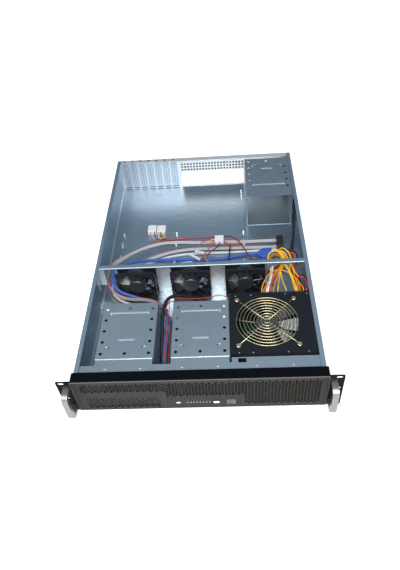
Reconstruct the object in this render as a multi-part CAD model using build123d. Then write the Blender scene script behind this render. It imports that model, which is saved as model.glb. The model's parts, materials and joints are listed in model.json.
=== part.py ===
from build123d import *
import math
import os

# Every y below is measured from the rack plane, the rear face of the ears, with +Y to the rear.
# Each finished piece is moved by rack_plane_y, so that the origin is the middle of the case's base.

# Overall sizes, millimetres
rack_width = 482.6
panel_height = 88.0
body_depth = 650.0
body_width = rack_width - 54.6
body_height = panel_height - 1.8
half_width = body_width / 2
steel = 1.0
bend = 0.8
side_lip = 8.5
seat_gap = 0.3

# Front panel, bezel and handles
panel_steel = 2.0
box_width = body_width + 7.0
box_depth = 17.0
box_steel = 1.4
box_round = 3.0
bezel_thick = 2.0
bezel_round = 1.2
ear_slot_x = rack_width - 17.5
ear_slot_z = panel_height - 11.8
inner_slot_z = 12.7
ear_slot_long = 11.0
ear_slot_high = 6.8
handle_reach = 30.0
handle_high = panel_height - 20.0
handle_wide = 10.3
handle_thick = 8.0
handle_round = 13.0
handle_gap = 1.2

# Regions of the bezel, as (left, bottom, right, top)
mesh_top = panel_height - 10.0
mesh_left = (18.5 - box_width / 2, 54.0, -51.0, mesh_top)
mesh_middle = (-49.0, 36.0, 70.0, mesh_top)
mesh_right = (76.0, 10.0, box_width / 2 - 11.5, mesh_top)
bay_plate = (7.5 - box_width / 2, 5.0, -60.6, 43.5)
bay_grille = (17.5 - box_width / 2, 9.0, -68.0, 40.0)
control_plate = (-60.0, 5.0, 70.0, 34.0)
control_window = (-50.0, 8.5, 63.0, 30.5)
mesh_pitch = 12.6
mesh_web = 2.6
bay_pitch = 9.6
bay_web = 3.0
window_margin = 2.0

# Controls on the strip
button_x = 28.0
button_z = 17.5
button_wide = 12.0
button_high = 13.0
button_proud = 1.0
button_travel = 1.5
button_rim = 1.0
reset_x = -38.5
reset_wide = 7.0
reset_high = 3.0
light_first_x = -22.5
light_pitch = 5.5
light_count = 8
light_size = 1.8
marks_z = 19.5
usb_x = 53.5
usb_low_z = 14.7
usb_pitch = 6.7
usb_wide = 13.1
usb_high = 5.7
usb_wall = 0.5
usb_deep = 10.0
usb_back = 2.0
usb_tongue = (11.0, 0.2, 1.9)
port_proud = 0.2
port_gap = 0.05
cap_chamfer = 0.4
board_y = 6.0
board_thick = 1.6
board_side = (6.0, 2.0, 4.0, 2.0)
board_stud_inset = 3.0
key_switch = (5.0, 2.6)
strip_gap = 0.2

# Front frame behind the panel
lip_top = body_height - 2.4
lip_deep = 33.0
lip_deep_right = 43.0
lip_step_x = half_width - 157.0
lip_notch = (lip_step_x + 11.0, 32.0, lip_step_x + 25.0, 41.0)

# Drive cages
cage_wide = 104.0
cage_top = body_height - 0.2
cage_front_y = 45.0
cage_long = 127.0
cage_left_x = 84.3 - half_width
cage_middle_x = 2.9
rear_cage_x = half_width - 60.6
rear_cage_long = 148.0
rear_cage_front_y = body_depth - rear_cage_long - 20.0
rear_cage_wall_long = 93.0
cage_flange_front_y = 18.0
cage_hole = 6.0
cage_hole_x = 42.6
cage_hole_first_y = 11.0
cage_hole_pitch = 25.4
cage_screw_x = 30.5
cage_screw_y = 27.0
ridge_wide = 3.0
ridge_high = 0.6
dimple_size = 6.6
dimple_high = 0.8
screw_head = 6.5
screw_head_high = 1.4
screw_shank = 3.4
screw_hole = 4.0
screw_reach = 3.4
cage_hole_rows = 5
cage_end_hole_gap = 2.0

# Pressed ribs of a cage's top plate, as (x, y, x, y) from its middle and its front edge
cage_ribs = [
    (-33, 104, 33, 104), (-32, 32, -32, 92), (-13, 41, 14, 41),
    (15, 44, 15, 80), (-14, 44, -14, 80), (32, 32, 32, 92),
]

# Dimples at the ribs' ends and the small holes beside two of them, as (x, y)
cage_dimples = [(-35, 104), (35, 104), (-34, 28), (34, 28)]
cage_small_holes = [(-29, 24), (30, 24)]
cage_small_hole = 3.2

# Fan wall and fans
bar_front_y = 267.0
wall_y = 278.0
bar_top = cage_top
bar_lip = 3.0
wall_left_x = 37.0 - half_width
wall_right_x = half_width - 81.0
leg_wide = 13.0
left_leg_low_z = 30.0
right_leg_low_z = 53.0
leg_deep = 16.0
foot_deep = 14.0
fan_size = body_height - 6.2
fan_deep = 25.0
fan_bore = fan_size - 4.0
fan_hole_pitch = fan_size - 8.5
fan_hole = 4.3
fan_flange = 4.0
fan_hub = 34.0
fan_blades = 7
fan_z = body_height / 2 - 0.1
fan_count = 3
fan_side_gap = 4.35
fan_corner = 4.0
wall_hole = fan_size - 6.0
motor_plate = 4.0
strut_wide = 3.0
duct_inset = 0.6
blade_thick = 1.4
blade_root_tilt = 50.0
blade_tip_tilt = 32.0
blade_root_share = 0.92
blade_tip_share = 0.62
blade_gap = 0.8
blade_edge_gap = 0.4
hub_gap = 0.6
hub_chamfer = 1.2
shank_size = 4.0
shank_hole = 4.6
shank_tip_gap = 0.5
fan_screw_head_high = 1.6
shaft_size = 3.0
shaft_long = 3.0
shaft_gap = 0.05

# Power supply
psu_wide = 150.0
psu_deep = 140.0
psu_high = body_height - steel
psu_right_x = half_width - 8.7
psu_front_y = 48.0
psu_fan_size = 120.0
psu_fan_x = psu_right_x - 83.0
psu_fan_y = psu_front_y + 70.0
psu_fan_bore = 114.0
psu_fan_hub = 42.0
psu_fan_blades = 9
psu_screw_pitch = 105.0
grille_wire = 1.6
grille_rings = 9
grille_first = 8.0
grille_pitch = 5.9
grille_eye = 8.4
grille_eye_thick = 0.8
grille_screw_head = 6.8
grille_screw_high = 1.0
inlet_x = psu_right_x - 45.3
inlet_z = 28.0
inlet_wide = 27.4
inlet_high = 19.8
inlet_flange = 1.8
inlet_deep = 22.0
inlet_rim = 1.5
inlet_wall = 1.7
inlet_back = 6.0
inlet_blade_inset = 4.0
inlet_blades = [(-7.0, -2.0), (0.0, 2.0), (7.0, -2.0)]
inlet_blade = (2.0, 4.0)
rocker_x = inlet_x - 30.0
rocker_wide = 10.0
rocker_radius = 8.0
rocker_gap = 0.3
rocker_lean = 8.0
rocker_hinge_in = 4.0
rocker_proud = 1.2
psu_board_inset = 8.0
psu_board_front = 30.0
psu_board_lift = 5.0
psu_board_thick = 1.6
heat_sink_thick = 4.0
heat_sink_high = psu_high - 45.2
heat_sink_left = 18.0
heat_sink_right = 30.0
transformer = (46.0, 24.0, 80.0, 60.0)
transformer_high = psu_high - 53.2
stud_size = 5.0

# Rear panel
slot_first_x = 17.0 - half_width
slot_pitch = 20.32
slot_count = 7
slot_wide = 13.0
slot_low_z = 9.0
slot_high_z = body_height - 7.2
cover_wide = 18.4
cover_thick = 0.9
cover_low_z = 3.0
cover_foot = 11.0
cover_holes = 8
cover_hole = 3.0
cover_hole_pitch = 7.0
cover_emboss = (62.0, 10.0)
cover_emboss_high = 0.5
io_left_x = slot_first_x + 139.0
io_low_z = 2.6
io_wide = 158.75
io_high = 44.45
vent_first_x = io_left_x + 3.5
vent_pitch_x = 7.6
vent_columns = 21
vent_high_z = body_height - 18.3
vent_pitch_z = 8.2
vent_hole = 4.8
vent_margin = 4.0
rear_flange = 13.0
rear_inlet_x = half_width - 19.0
rear_inlet_z = 16.0

# Plugs: length along X, length along Y, height
plug_edge = 0.8
main_plug = (23.0, 52.0, 16.0)
signal_plug_size = (14.0, 36.0, 20.0)
signal_plug_front = 28.0
blue_plug_size = (24.0, 13.0, 9.0)
blue_plug_front = 9.0
drive_plug_size = (20.0, 22.0, 13.0)
drive_plug_pitch = 22.0
drive_plug_step = 2.0
fan_plug_size = (20.0, 20.0, 10.0)
ac_plug_long = 34.0
ac_plug_wide = 16.0
ac_plug_front = 7.5
ac_plug_edge = 1.5

# Board standoffs, as (from the left wall, from the rear)
standoff_high = 7.0
standoff_size = 5.0
standoffs = [
    (23.3, 183), (23.3, 209), (23.3, 221), (23.3, 260), (149, 187), (149, 224),
    (306, 190), (306, 216), (306, 230), (306, 33), (306, 57),
]

# Cords: width and route of each, chosen by hand for a case of these three sizes. In front of
# routed_still_y nothing moves when the case gets longer.
routed_width = 428.0
routed_depth = 650.0
routed_height = 86.2
routed_still_y = 300.0
cords = {
    "ac_lead": (6.0, [
        (195, 628, 16), (195, 613, 16), (200, 597, 20), (209, 578, 30), (209.4, 542, 47),
        (209.4, 500, 55), (208.5, 463, 40), (205, 430, 20), (197, 392, 7), (191, 352, 5.6),
        (195, 316, 8), (203, 284, 11), (209, 248, 15), (209.4, 208, 20), (209.5, 164, 21),
        (209.4, 120, 20), (209.5, 84, 22), (209.4, 60, 24), (208.8, 43, 26.5), (203, 32.5, 28),
        (193, 29, 28), (181, 29, 28),
    ]),
    "front_lead": (6.5, [
        (-50, 7.6, 24), (-50, 20, 24), (-62, 40, 26), (-71.5, 72, 36), (-71, 115, 52),
        (-72, 155, 62), (-70, 190, 66), (-56, 213, 60), (-28, 222, 44), (4, 221, 27),
        (34, 219, 14), (53, 225, 9), (60, 238, 8), (60, 252, 8),
    ]),
    "ribbon_upper": (10.0, [
        (-34, 7.6, 26), (-34, 18, 26), (-50, 32, 30), (-58, 54, 37), (-58, 86, 42), (-57.5, 126, 44),
        (-60, 166, 46), (-76, 200, 48), (-110, 216, 48), (-146, 214, 50), (-177, 227, 56),
        (-192.5, 255, 64), (-193, 292, 62), (-186, 332, 42), (-170, 372, 22), (-140, 402, 14.3),
        (-98, 418, 14), (-55, 419, 14), (-10, 414, 14.2), (40, 415, 14), (90, 411, 14.2),
        (135, 412, 14), (165, 412, 14),
    ]),
    "ribbon_lower": (10.0, [
        (-22, 7.6, 12), (-22, 18, 12), (-35, 34, 16), (-54, 53, 23), (-59, 86, 29),
        (-57.5, 125, 31), (-60, 164, 33), (-76, 192, 35), (-108, 204, 36), (-145, 202, 38),
        (-177, 216, 43), (-192, 246, 48), (-191, 282, 47), (-182, 313, 32), (-165, 341, 16),
        (-135, 364, 8.5), (-98, 386, 7), (-60, 398, 6.6), (-20, 402, 6.5), (25, 400.5, 6.6),
        (70, 400, 6.5), (115, 399, 6.6), (145, 397, 8), (165, 397, 8),
    ]),
    "blue_lead": (6.5, [
        (-42, 7.6, 13), (-42, 20, 13), (-53, 40, 10), (-58, 73, 8), (-57.5, 115, 7),
        (-58, 155, 8), (-64, 190, 12), (-82, 217, 18), (-112, 231, 26), (-143, 236, 36),
        (-169, 240, 46), (-184, 259, 55), (-183.5, 288, 55), (-172, 309, 42), (-150, 327, 24),
        (-120, 342, 10), (-88, 358, 5.2), (-50, 367, 4.7), (-8, 365, 4.6), (35, 361, 4.7),
        (75, 370, 4.6), (102, 379, 6), (122, 379, 6),
    ]),
    "grey_lead": (6.0, [
        (-53, 7.6, 12), (-53, 20, 12), (-62, 40, 11), (-70, 73, 10), (-70.5, 115, 9),
        (-69, 152, 10), (-77, 184, 14), (-99, 204, 20), (-127, 215, 26), (-155, 221, 32),
        (-177, 233, 37), (-187, 259, 37), (-186, 288, 34), (-177, 313, 21), (-160, 335, 9),
        (-134, 356, 4.7), (-98, 374, 4.5), (-60, 385, 4.4), (-18, 389, 4.4), (27, 388, 4.5),
        (72, 387.5, 4.4), (115, 389, 4.6), (145, 387.5, 7), (165, 387.5, 7),
    ]),
    "loom_left": (11.0, [
        (118, 188, 46), (118, 202, 46), (123, 219, 57), (138, 239, 70), (157, 255, 74.5),
        (166, 277, 72), (165, 303, 66), (158, 325, 53), (150, 337, 36), (145, 340, 20),
        (135, 336, 9), (120, 336, 9),
    ]),
    "loom_right": (11.0, [
        (194, 188, 50), (194, 202, 50), (191, 222, 61), (187, 247, 69), (184, 272, 71),
        (183, 298, 68), (184, 322, 60), (186, 340, 44), (181, 345, 26), (168, 336, 13),
        (152, 323, 9), (136, 313, 9), (120, 313, 9),
    ]),
    "drive_power_lead": (5.0, [
        (158, 188, 40), (158, 202, 40), (153, 228, 35), (144, 262, 26), (139, 291, 22),
        (125, 318, 23), (107, 342, 23), (94, 370, 24), (82, 400, 25), (67, 425, 20),
        (42, 436, 12), (6, 434, 11), (-28, 435, 11), (-60, 431, 11.2), (-84, 431.5, 9.5),
        (-98, 437, 8.4), (-101, 449, 8.4), (-101, 459, 8.4),
    ]),
    "fan_power_lead": (4.0, [
        (20, 278, 60), (20, 289, 60), (16, 308, 54), (9, 328, 41), (6, 348, 29),
        (12, 366, 24.5), (24, 379, 25), (36, 387, 26), (36, 398, 26),
    ]),
}

# Derived sizes
rear_extent = body_depth + inlet_flange
rack_plane_y = (handle_reach - rear_extent) / 2
floor_z = steel
inner_half = body_width / 2 - steel
tray_end_y = body_depth - steel
front_face_y = -panel_steel
bezel_face_y = front_face_y - bezel_thick
psu_low_z = floor_z
psu_top_z = psu_low_z + psu_high
psu_centre_x = psu_right_x - psu_wide / 2
psu_rear_y = psu_front_y + psu_deep
fan_front_y = wall_y - steel - fan_deep
cage_bottom = floor_z
flange_top = lip_top + steel
fan_pitch = (wall_right_x - wall_left_x - fan_size) / 2 - fan_side_gap
fan_xs = [
    (wall_left_x + wall_right_x) / 2 + (index - (fan_count - 1) / 2) * fan_pitch
    for index in range(fan_count)
]
vent_rows = int((vent_high_z - io_low_z - io_high - vent_margin) / vent_pitch_z) + 1


# Sketch helpers: a face drawn in a plane's own two axes, then made solid

def along(face, y_front, y_rear):
    # A face drawn in X and Z, made solid from y_front to y_rear
    return extrude(Plane.XZ.offset(-y_rear) * face, y_rear - y_front)


def across(face, x_left, x_right):
    # A face drawn in Y and Z, made solid from x_left to x_right
    return extrude(Plane.YZ.offset(x_left) * face, x_right - x_left)


def upward(face, z_low, z_high):
    return extrude(Plane.XY.offset(z_low) * face, z_high - z_low)


def rectangle(left, low, right, high):
    return Pos((left + right) / 2, (low + high) / 2) * Rectangle(right - left, high - low)


def turned_offset(points, gap):
    # The line of points moved sideways to its left by gap, with square corners
    moved = []
    for index, point in enumerate(points):
        normals = []
        for start, end in ((index - 1, index), (index, index + 1)):
            if start >= 0 and end < len(points):
                run = Vector(*points[end]) - Vector(*points[start])
                normals.append(Vector(-run.Y, run.X) / run.length)
        shift = normals[0] + normals[-1]
        shift = shift / (1 + normals[0].dot(normals[-1]))
        moved.append((point[0] + shift.X * gap, point[1] + shift.Y * gap))
    return moved


def folded(points, thickness=steel, inside=bend):
    # The section of a folded sheet: the points run along one side, and the metal lies to their left
    other = turned_offset(points, thickness)
    face = make_face(Polyline(*points, *reversed(other), close=True)).face()
    for index in range(1, len(points) - 1):
        before = Vector(*points[index]) - Vector(*points[index - 1])
        after = Vector(*points[index + 1]) - Vector(*points[index])
        turns_left = before.cross(after).Z > 0
        for corner, is_inside in ((points[index], not turns_left), (other[index], turns_left)):
            radius = inside if is_inside else inside + thickness
            spot = Vector(*corner)
            near = min(face.vertices(), key=lambda v: (Vector(v.X, v.Y) - spot).length)
            face = face.fillet_2d(radius, [near])
    return face


def plate(outline, holes):
    # A flat sheet with holes, each given as a closed sketch
    return Face(outline.face().outer_wire(), [hole.face().outer_wire() for hole in holes])


def lattice(region, pitch, margin=0.0):
    # Centres of a honeycomb whose holes stay inside the region
    left, low, right, high = region
    column = pitch * math.sqrt(3) / 2
    columns = int((right - left - pitch - 2 * margin) / column) + 1
    start = (left + right - (columns - 1) * column) / 2
    centres = []
    for index in range(columns):
        rise = pitch / 2 if index % 2 else 0.0
        rows = int((high - low - pitch / 2 - pitch - 2 * margin) / pitch) + 1
        first = (low + high - (rows - 1) * pitch - pitch / 2) / 2 + rise
        centres += [(start + index * column, first + row * pitch) for row in range(rows)]
    return centres


def hexagons(region, pitch, web):
    hole = RegularPolygon((pitch - web) / 2, 6, major_radius=False)
    return [Pos(x, z) * hole for x, z in lattice(region, pitch)]


def shrunk(region, margin):
    left, low, right, high = region
    return rectangle(left + margin, low + margin, right - margin, high - margin)


def ridge(x_start, y_start, x_end, y_end, z):
    # A pressed rib, straight, between two points on a level plate
    length = math.hypot(x_end - x_start, y_end - y_start) + ridge_wide
    turn = math.degrees(math.atan2(y_end - y_start, x_end - x_start))
    centre = Pos((x_start + x_end) / 2, (y_start + y_end) / 2) * Rot(0, 0, turn)
    return upward(centre * SlotOverall(length, ridge_wide), z, z + ridge_high)


def screw(x, y, z):
    # A pan head that sits on a level sheet, with its shank down through it
    head = extrude(Circle(screw_head / 2), screw_head_high, taper=12)
    shank = Pos(0, 0, -screw_reach) * extrude(Circle(screw_shank / 2), screw_reach + steel / 2)
    return (Pos(x, y, z) * head.fuse(shank)).solid()


def screw_cut(x, y, z):
    return upward(Pos(x, y) * Circle(screw_hole / 2), z - 2 * steel, z + steel)


def group(solids):
    return Compound(children=list(solids))


# Sheet metal

def base_tray():
    half = body_width / 2
    lip_end = half - side_lip
    path = [(-lip_end, body_height), (-half, body_height), (-half, 0)]
    path += [(half, 0), (half, body_height), (lip_end, body_height)]
    return along(folded(path), 0, tray_end_y).solid()


def board_studs():
    stud = RegularPolygon(standoff_size / 2, 6, major_radius=False)
    spots = [(from_left - half_width, body_depth - from_rear) for from_left, from_rear in standoffs]
    return group(upward(Pos(x, y) * stud, floor_z, floor_z + standoff_high).solid()
                 for x, y in spots)


def rear_panel():
    outline = rectangle(-body_width / 2, 0, body_width / 2, body_height)
    holes = [
        rectangle(x - slot_wide / 2, slot_low_z, x + slot_wide / 2, slot_high_z) for x in slot_xs()
    ]
    io_region = (io_left_x, io_low_z, io_left_x + io_wide, io_low_z + io_high)
    holes.append(rectangle(*io_region))
    for column in range(vent_columns):
        for row in range(vent_rows):
            centre = Pos(vent_first_x + column * vent_pitch_x, vent_high_z - row * vent_pitch_z)
            holes.append(centre * Rectangle(vent_hole, vent_hole))
    holes.append(Pos(rear_inlet_x, rear_inlet_z) * Rectangle(inlet_wide, inlet_high))
    sheet = along(plate(outline, holes), tray_end_y, body_depth)
    top = across(
        folded([(body_depth - rear_flange, body_height), (body_depth, body_height),
                (body_depth, body_height - 2 * steel)][::-1]),
        -inner_half + side_lip, inner_half - side_lip,
    )
    cuts = [screw_cut(*spot) for spot in slot_screw_spots()]
    return sheet.fuse(top).cut(*cuts).solid()


def slot_xs():
    return [slot_first_x + index * slot_pitch for index in range(slot_count)]


def slot_cover(x):
    half = cover_wide / 2
    top = body_height - steel
    path = [(tray_end_y, cover_low_z), (tray_end_y, top), (tray_end_y - cover_foot, top)]
    body = across(folded(path, cover_thick), x - half, x + half)
    middle = (slot_low_z + slot_high_z) / 2
    front = tray_end_y - cover_thick - cover_emboss_high
    emboss = Pos(x, middle) * Rot(0, 0, 90) * SlotOverall(*cover_emboss)
    body = body.fuse(along(emboss, front, tray_end_y - cover_thick / 2))
    first = middle - (cover_holes - 1) * cover_hole_pitch / 2
    cuts = [
        along(Pos(x, first + index * cover_hole_pitch) * Rectangle(cover_hole, cover_hole),
              front - steel, tray_end_y + cover_thick)
        for index in range(cover_holes)
    ]
    cuts += [screw_cut(*spot) for spot in slot_screw_spots()]
    return body.cut(*cuts).solid()


def front_frame():
    path = [(0, floor_z), (0, lip_top), (lip_deep_right, lip_top)]
    frame = across(folded(path[::-1]), -inner_half, inner_half)
    windows = [shrunk(mesh_left, window_margin), shrunk(mesh_middle, window_margin)]
    windows += [shrunk(mesh_right, window_margin), shrunk(bay_grille, 0), rectangle(*control_window)]
    cuts = [along(window, -steel, 2 * steel) for window in windows]
    lip_low = lip_top - 2 * steel
    cuts.append(upward(rectangle(-inner_half - 1, lip_deep, lip_step_x, lip_deep_right + 1),
                       lip_low, lip_top + 1))
    cuts.append(upward(rectangle(*lip_notch), lip_low, lip_top + 1))
    cuts += [screw_cut(*spot) for spot in cage_screw_spots()]
    return frame.cut(*cuts).solid()


def drive_cage(x, front_y, length, wall_length, flange_y, mirrored):
    half = cage_wide / 2
    rear_y = front_y + length
    outer = rectangle(-half, cage_bottom, half, cage_top)
    inner = rectangle(-half + steel, cage_bottom + steel, half - steel, cage_top - steel)
    outer = fillet(outer.vertices(), bend + steel)
    inner = fillet(inner.vertices(), bend)
    tube = along(plate(outer, [inner]), front_y, rear_y)
    if flange_y < front_y:
        step = [(flange_y, flange_top), (front_y - steel, flange_top), (front_y, cage_top)]
        step += [(front_y + bend, cage_top), (front_y + bend, cage_top - steel)]
        step += [(front_y, flange_top - steel), (flange_y, flange_top - steel)]
        corner = half - bend - steel
        tube = tube.fuse(across(make_face(Polyline(*step, close=True)), -corner, corner))
    holes = [(side * cage_hole_x, cage_hole_first_y + row * cage_hole_pitch)
             for side in (-1, 1) for row in range(cage_hole_rows)]
    last_hole_y = cage_hole_first_y + (cage_hole_rows - 1) * cage_hole_pitch
    holes += [(0, cage_hole_first_y), (0, last_hole_y + cage_end_hole_gap)]

    def placed(y):
        return rear_y - y if mirrored else front_y + y

    cuts = [upward(Pos(hx, placed(hy)) * Circle(cage_hole / 2), cage_top - 2 * steel, cage_top + 1)
            for hx, hy in holes]
    cuts += [upward(Pos(hx, placed(hy)) * Circle(cage_small_hole / 2), cage_top - 2 * steel,
                    cage_top + 1) for hx, hy in cage_small_holes]
    if flange_y < front_y:
        cuts += [Pos(-x, 0, 0) * screw_cut(*spot) for spot in cage_screw_spots()]
    if wall_length < length:
        cuts.append(upward(rectangle(-half - 1, front_y + wall_length, half + 1, rear_y + 1),
                           cage_bottom - 1, cage_top - steel))
    ribs = [ridge(x0, placed(y0), x1, placed(y1), cage_top) for x0, y0, x1, y1 in cage_ribs]
    ribs += [Pos(dx, placed(dy), cage_top) * extrude(Circle(dimple_size / 2), dimple_high, taper=40)
             for dx, dy in cage_dimples]
    return (Pos(x, 0, 0) * tube.fuse(*ribs).cut(*cuts)).solid()


def fan_wall():
    path = [(bar_front_y, bar_top - bar_lip), (bar_front_y, bar_top), (wall_y, bar_top)]
    path += [(wall_y, floor_z), (wall_y - foot_deep, floor_z)]
    half = body_width / 2 - side_lip - 0.1
    wall = across(folded(path[::-1]), -half, half)
    below = bar_top - bar_lip
    cuts = [across(rectangle(bar_front_y - 9, 0, wall_y + 1, below), left, right)
            for left, right in ((-half - 1, wall_left_x), (wall_right_x, half + 1))]
    openings = [Pos(x, fan_z) * Circle(wall_hole / 2) for x in fan_xs]
    openings += [Pos(*spot) * Circle(shank_hole / 2) for spot in fan_screw_spots()]
    cuts += [along(opening, wall_y - 2 * steel, wall_y + 1) for opening in openings]
    legs = []
    for side, low in ((-1, left_leg_low_z), (1, right_leg_low_z)):
        corner = [(side * (inner_half - leg_wide), wall_y), (side * inner_half, wall_y)]
        corner.append((side * inner_half, wall_y - leg_deep))
        legs.append(upward(folded(corner[::-side]), low, bar_top - 2 * steel))
    return wall.cut(*cuts).fuse(*legs).solid()


# Front panel, bezel and controls

def front_panel():
    outline = Pos(0, panel_height / 2) * RectangleRounded(rack_width, panel_height, 2)
    holes = [rectangle(*control_window), shrunk(bay_grille, 0)]
    holes += [shrunk(mesh_left, window_margin), shrunk(mesh_middle, window_margin)]
    holes.append(shrunk(mesh_right, window_margin))
    for x in (-ear_slot_x / 2, ear_slot_x / 2):
        for rise in (-ear_slot_z / 2, -inner_slot_z / 2, inner_slot_z / 2, ear_slot_z / 2):
            slot = SlotOverall(ear_slot_long, ear_slot_high)
            holes.append(Pos(x, panel_height / 2 + 0.05 + rise) * slot)
    face = along(plate(outline, holes), front_face_y, 0)
    half = box_width / 2
    path = [(-half, 2), (-half, panel_height), (half, panel_height), (half, 2)]
    section = folded(path[::-1], box_steel, box_round - box_steel)
    return face.fuse(along(section, -panel_steel / 2, box_depth)).solid()


def bezel():
    outline = Pos(0, panel_height / 2) * RectangleRounded(box_width, panel_height, box_round)
    holes = []
    for region in (mesh_left, mesh_middle, mesh_right):
        holes += hexagons(region, mesh_pitch, mesh_web)
    holes.append(rectangle(*bay_plate))
    holes.append(rectangle(*control_plate))
    sheet = along(plate(outline, holes), bezel_face_y, front_face_y)
    rim = [edge for edge in sheet.faces().sort_by(Axis.Y)[0].outer_wire().edges()]
    return chamfer(rim, bezel_round / 2).solid()


def bay_cover():
    holes = hexagons(bay_grille, bay_pitch, bay_web)
    return along(plate(shrunk(bay_plate, strip_gap), holes), bezel_face_y, front_face_y).solid()


def control_panel():
    holes = [
        Pos(button_x, button_z) * Rectangle(button_wide + 2 * seat_gap, button_high + 2 * seat_gap),
        Pos(reset_x, marks_z) * Rectangle(reset_wide + 2 * seat_gap, reset_high + 2 * seat_gap),
    ]
    for x in light_xs():
        light_hole = light_size + 2 * port_gap
        holes.append(Pos(x, marks_z) * Rectangle(light_hole, light_hole))
    for z in usb_zs():
        holes.append(Pos(usb_x, z) * Rectangle(usb_wide + 2 * port_gap, usb_high + 2 * port_gap))
    return along(plate(shrunk(control_plate, strip_gap), holes), bezel_face_y, front_face_y).solid()


def light_xs():
    return [light_first_x + index * light_pitch for index in range(light_count)]


def usb_zs():
    return [usb_low_z, usb_low_z + usb_pitch]


def push_button(x, z, wide, high):
    # A cap that slides through the strip, with a rim behind it that keeps it in
    cap_face = bezel_face_y - button_proud
    rim_front = front_face_y + seat_gap
    cap = along(Pos(x, z) * Rectangle(wide, high), cap_face, rim_front)
    cap = chamfer(cap.faces().sort_by(Axis.Y)[0].edges(), cap_chamfer)
    rim = Pos(x, z) * Rectangle(wide + 2 * button_rim, high + 2 * button_rim)
    return cap.fuse(along(rim, rim_front, rim_front + button_rim)).solid()


def usb_ports():
    shells = []
    front = bezel_face_y - port_proud
    back = front + usb_deep - usb_back
    tongue_wide, tongue_low, tongue_high = usb_tongue
    for z in usb_zs():
        shell = along(Pos(usb_x, z) * Rectangle(usb_wide, usb_high), front, board_y)
        hollow = Pos(usb_x, z) * Rectangle(usb_wide - 2 * usb_wall, usb_high - 2 * usb_wall)
        shell = shell.cut(along(hollow, front - 1, back))
        tongue = rectangle(
            usb_x - tongue_wide / 2, z + tongue_low, usb_x + tongue_wide / 2, z + tongue_high)
        shells.append(shell.fuse(along(tongue, front + 1, back + 1)).solid())
    return group(shells)


def status_lights():
    pipe = Rectangle(light_size, light_size)
    return group(along(Pos(x, marks_z) * pipe, bezel_face_y - port_proud, board_y).solid()
                 for x in light_xs())


def front_board():
    # The strip's circuit board, on four studs, with a key switch behind each button
    left, low, right, high = [
        edge + sign * side for edge, sign, side in zip(control_window, (-1, -1, 1, 1), board_side)
    ]
    board = along(rectangle(left, low, right, high), board_y, board_y + board_thick)
    inset = board_stud_inset
    extras = [along(Pos(x, z) * Circle(stud_size / 2), steel, board_y)
              for x in (left + inset, right - inset / 2 - 0.5) for z in (low + 5, high - 5)]
    plunger = front_face_y + seat_gap + button_rim + button_travel + seat_gap
    for x, z in ((button_x, button_z), (reset_x, marks_z)):
        extras.append(along(Pos(x, z) * Rectangle(*key_switch), plunger, board_y))
    return board.fuse(*extras).solid()


def handle(side):
    # A bar bent to a bracket, seen from the side and made as wide as the bar
    low = (panel_height - handle_high) / 2
    high = low + handle_high
    path = [(front_face_y, low), (-handle_reach, low), (-handle_reach, high), (front_face_y, high)]
    section = folded(path[::-1], handle_thick, handle_round - handle_thick)
    left = box_width / 2 + handle_gap
    if side < 0:
        left = -left - handle_wide
    bar = across(section, left, left + handle_wide)
    return bar.solid()


# Fans

def fan_frame(size, deep, bore, hub, hole_pitch):
    # Drawn lying flat, with the struts and the motor plate at the bottom
    half = size / 2
    outline = RectangleRounded(size, size, fan_corner)
    spots = [(sx * hole_pitch / 2, sy * hole_pitch / 2) for sx in (-1, 1) for sy in (-1, 1)]
    holes = [Circle(bore / 2)] + [Pos(*spot) * Circle(fan_hole / 2) for spot in spots]
    flange = plate(outline, holes)
    duct = plate(Circle(half - duct_inset), [Circle(bore / 2)])
    body = upward(flange, 0, fan_flange)
    body = body.fuse(upward(flange, deep - fan_flange, deep), upward(duct, 0, deep))
    motor = upward(plate(Circle(hub / 2), [Circle(shaft_size / 2 + shaft_gap)]), 0, motor_plate)
    struts = []
    for turn in (45, 135, 225, 315):
        arm = Pos((hub + bore) / 4, 0) * Rectangle((bore - hub) / 2 + 2, strut_wide)
        struts.append(upward(Rot(0, 0, turn) * arm, 0, motor_plate))
    return body.fuse(motor, *struts).solid()


def fan_rotor(deep, bore, hub, blades):
    # Drawn lying flat, with its shaft down into the motor plate
    low = motor_plate + hub_gap
    high = deep - blade_gap
    rotor = Pos(0, 0, low) * extrude(Circle(hub / 2), high - low)
    rotor = chamfer(rotor.faces().sort_by(Axis.Z)[-1].edges(), hub_chamfer)
    spread = 2 * math.pi / blades
    ends = []
    for radius, tilt, share in (
        (hub / 2 - 1, blade_root_tilt, blade_root_share),
        (bore / 2, blade_tip_tilt, blade_tip_share),
    ):
        station = Plane(origin=(radius, 0, (low + high) / 2), x_dir=(0, 1, 0), z_dir=(1, 0, 0))
        chord = Rectangle(radius * spread * share, blade_thick)
        ends.append(station * (Rot(0, 0, tilt) * chord))
    within = upward(Circle(bore / 2 - blade_gap), low + blade_edge_gap, high - blade_edge_gap)
    blade = (loft(ends) & within).solid()
    wheel = [Rot(0, 0, index * 360 / blades) * blade for index in range(blades)]
    shaft = Pos(0, 0, low - shaft_long) * extrude(Circle(shaft_size / 2), shaft_long + 1)
    return rotor.fuse(*wheel, shaft).solid()


def case_fan_place(x):
    # The struts lie against the fan wall and the open side looks forward
    return Pos(x, wall_y - steel, fan_z) * Rot(90, 0, 0)


def psu_fan_place():
    # The open side looks up through the lid
    return Pos(psu_fan_x, psu_fan_y, psu_top_z - steel - fan_deep)


def fan_screw_spots():
    half = fan_hole_pitch / 2
    return [(x + sx * half, fan_z + sz * half) for x in fan_xs for sx in (-1, 1) for sz in (-1, 1)]


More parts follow.
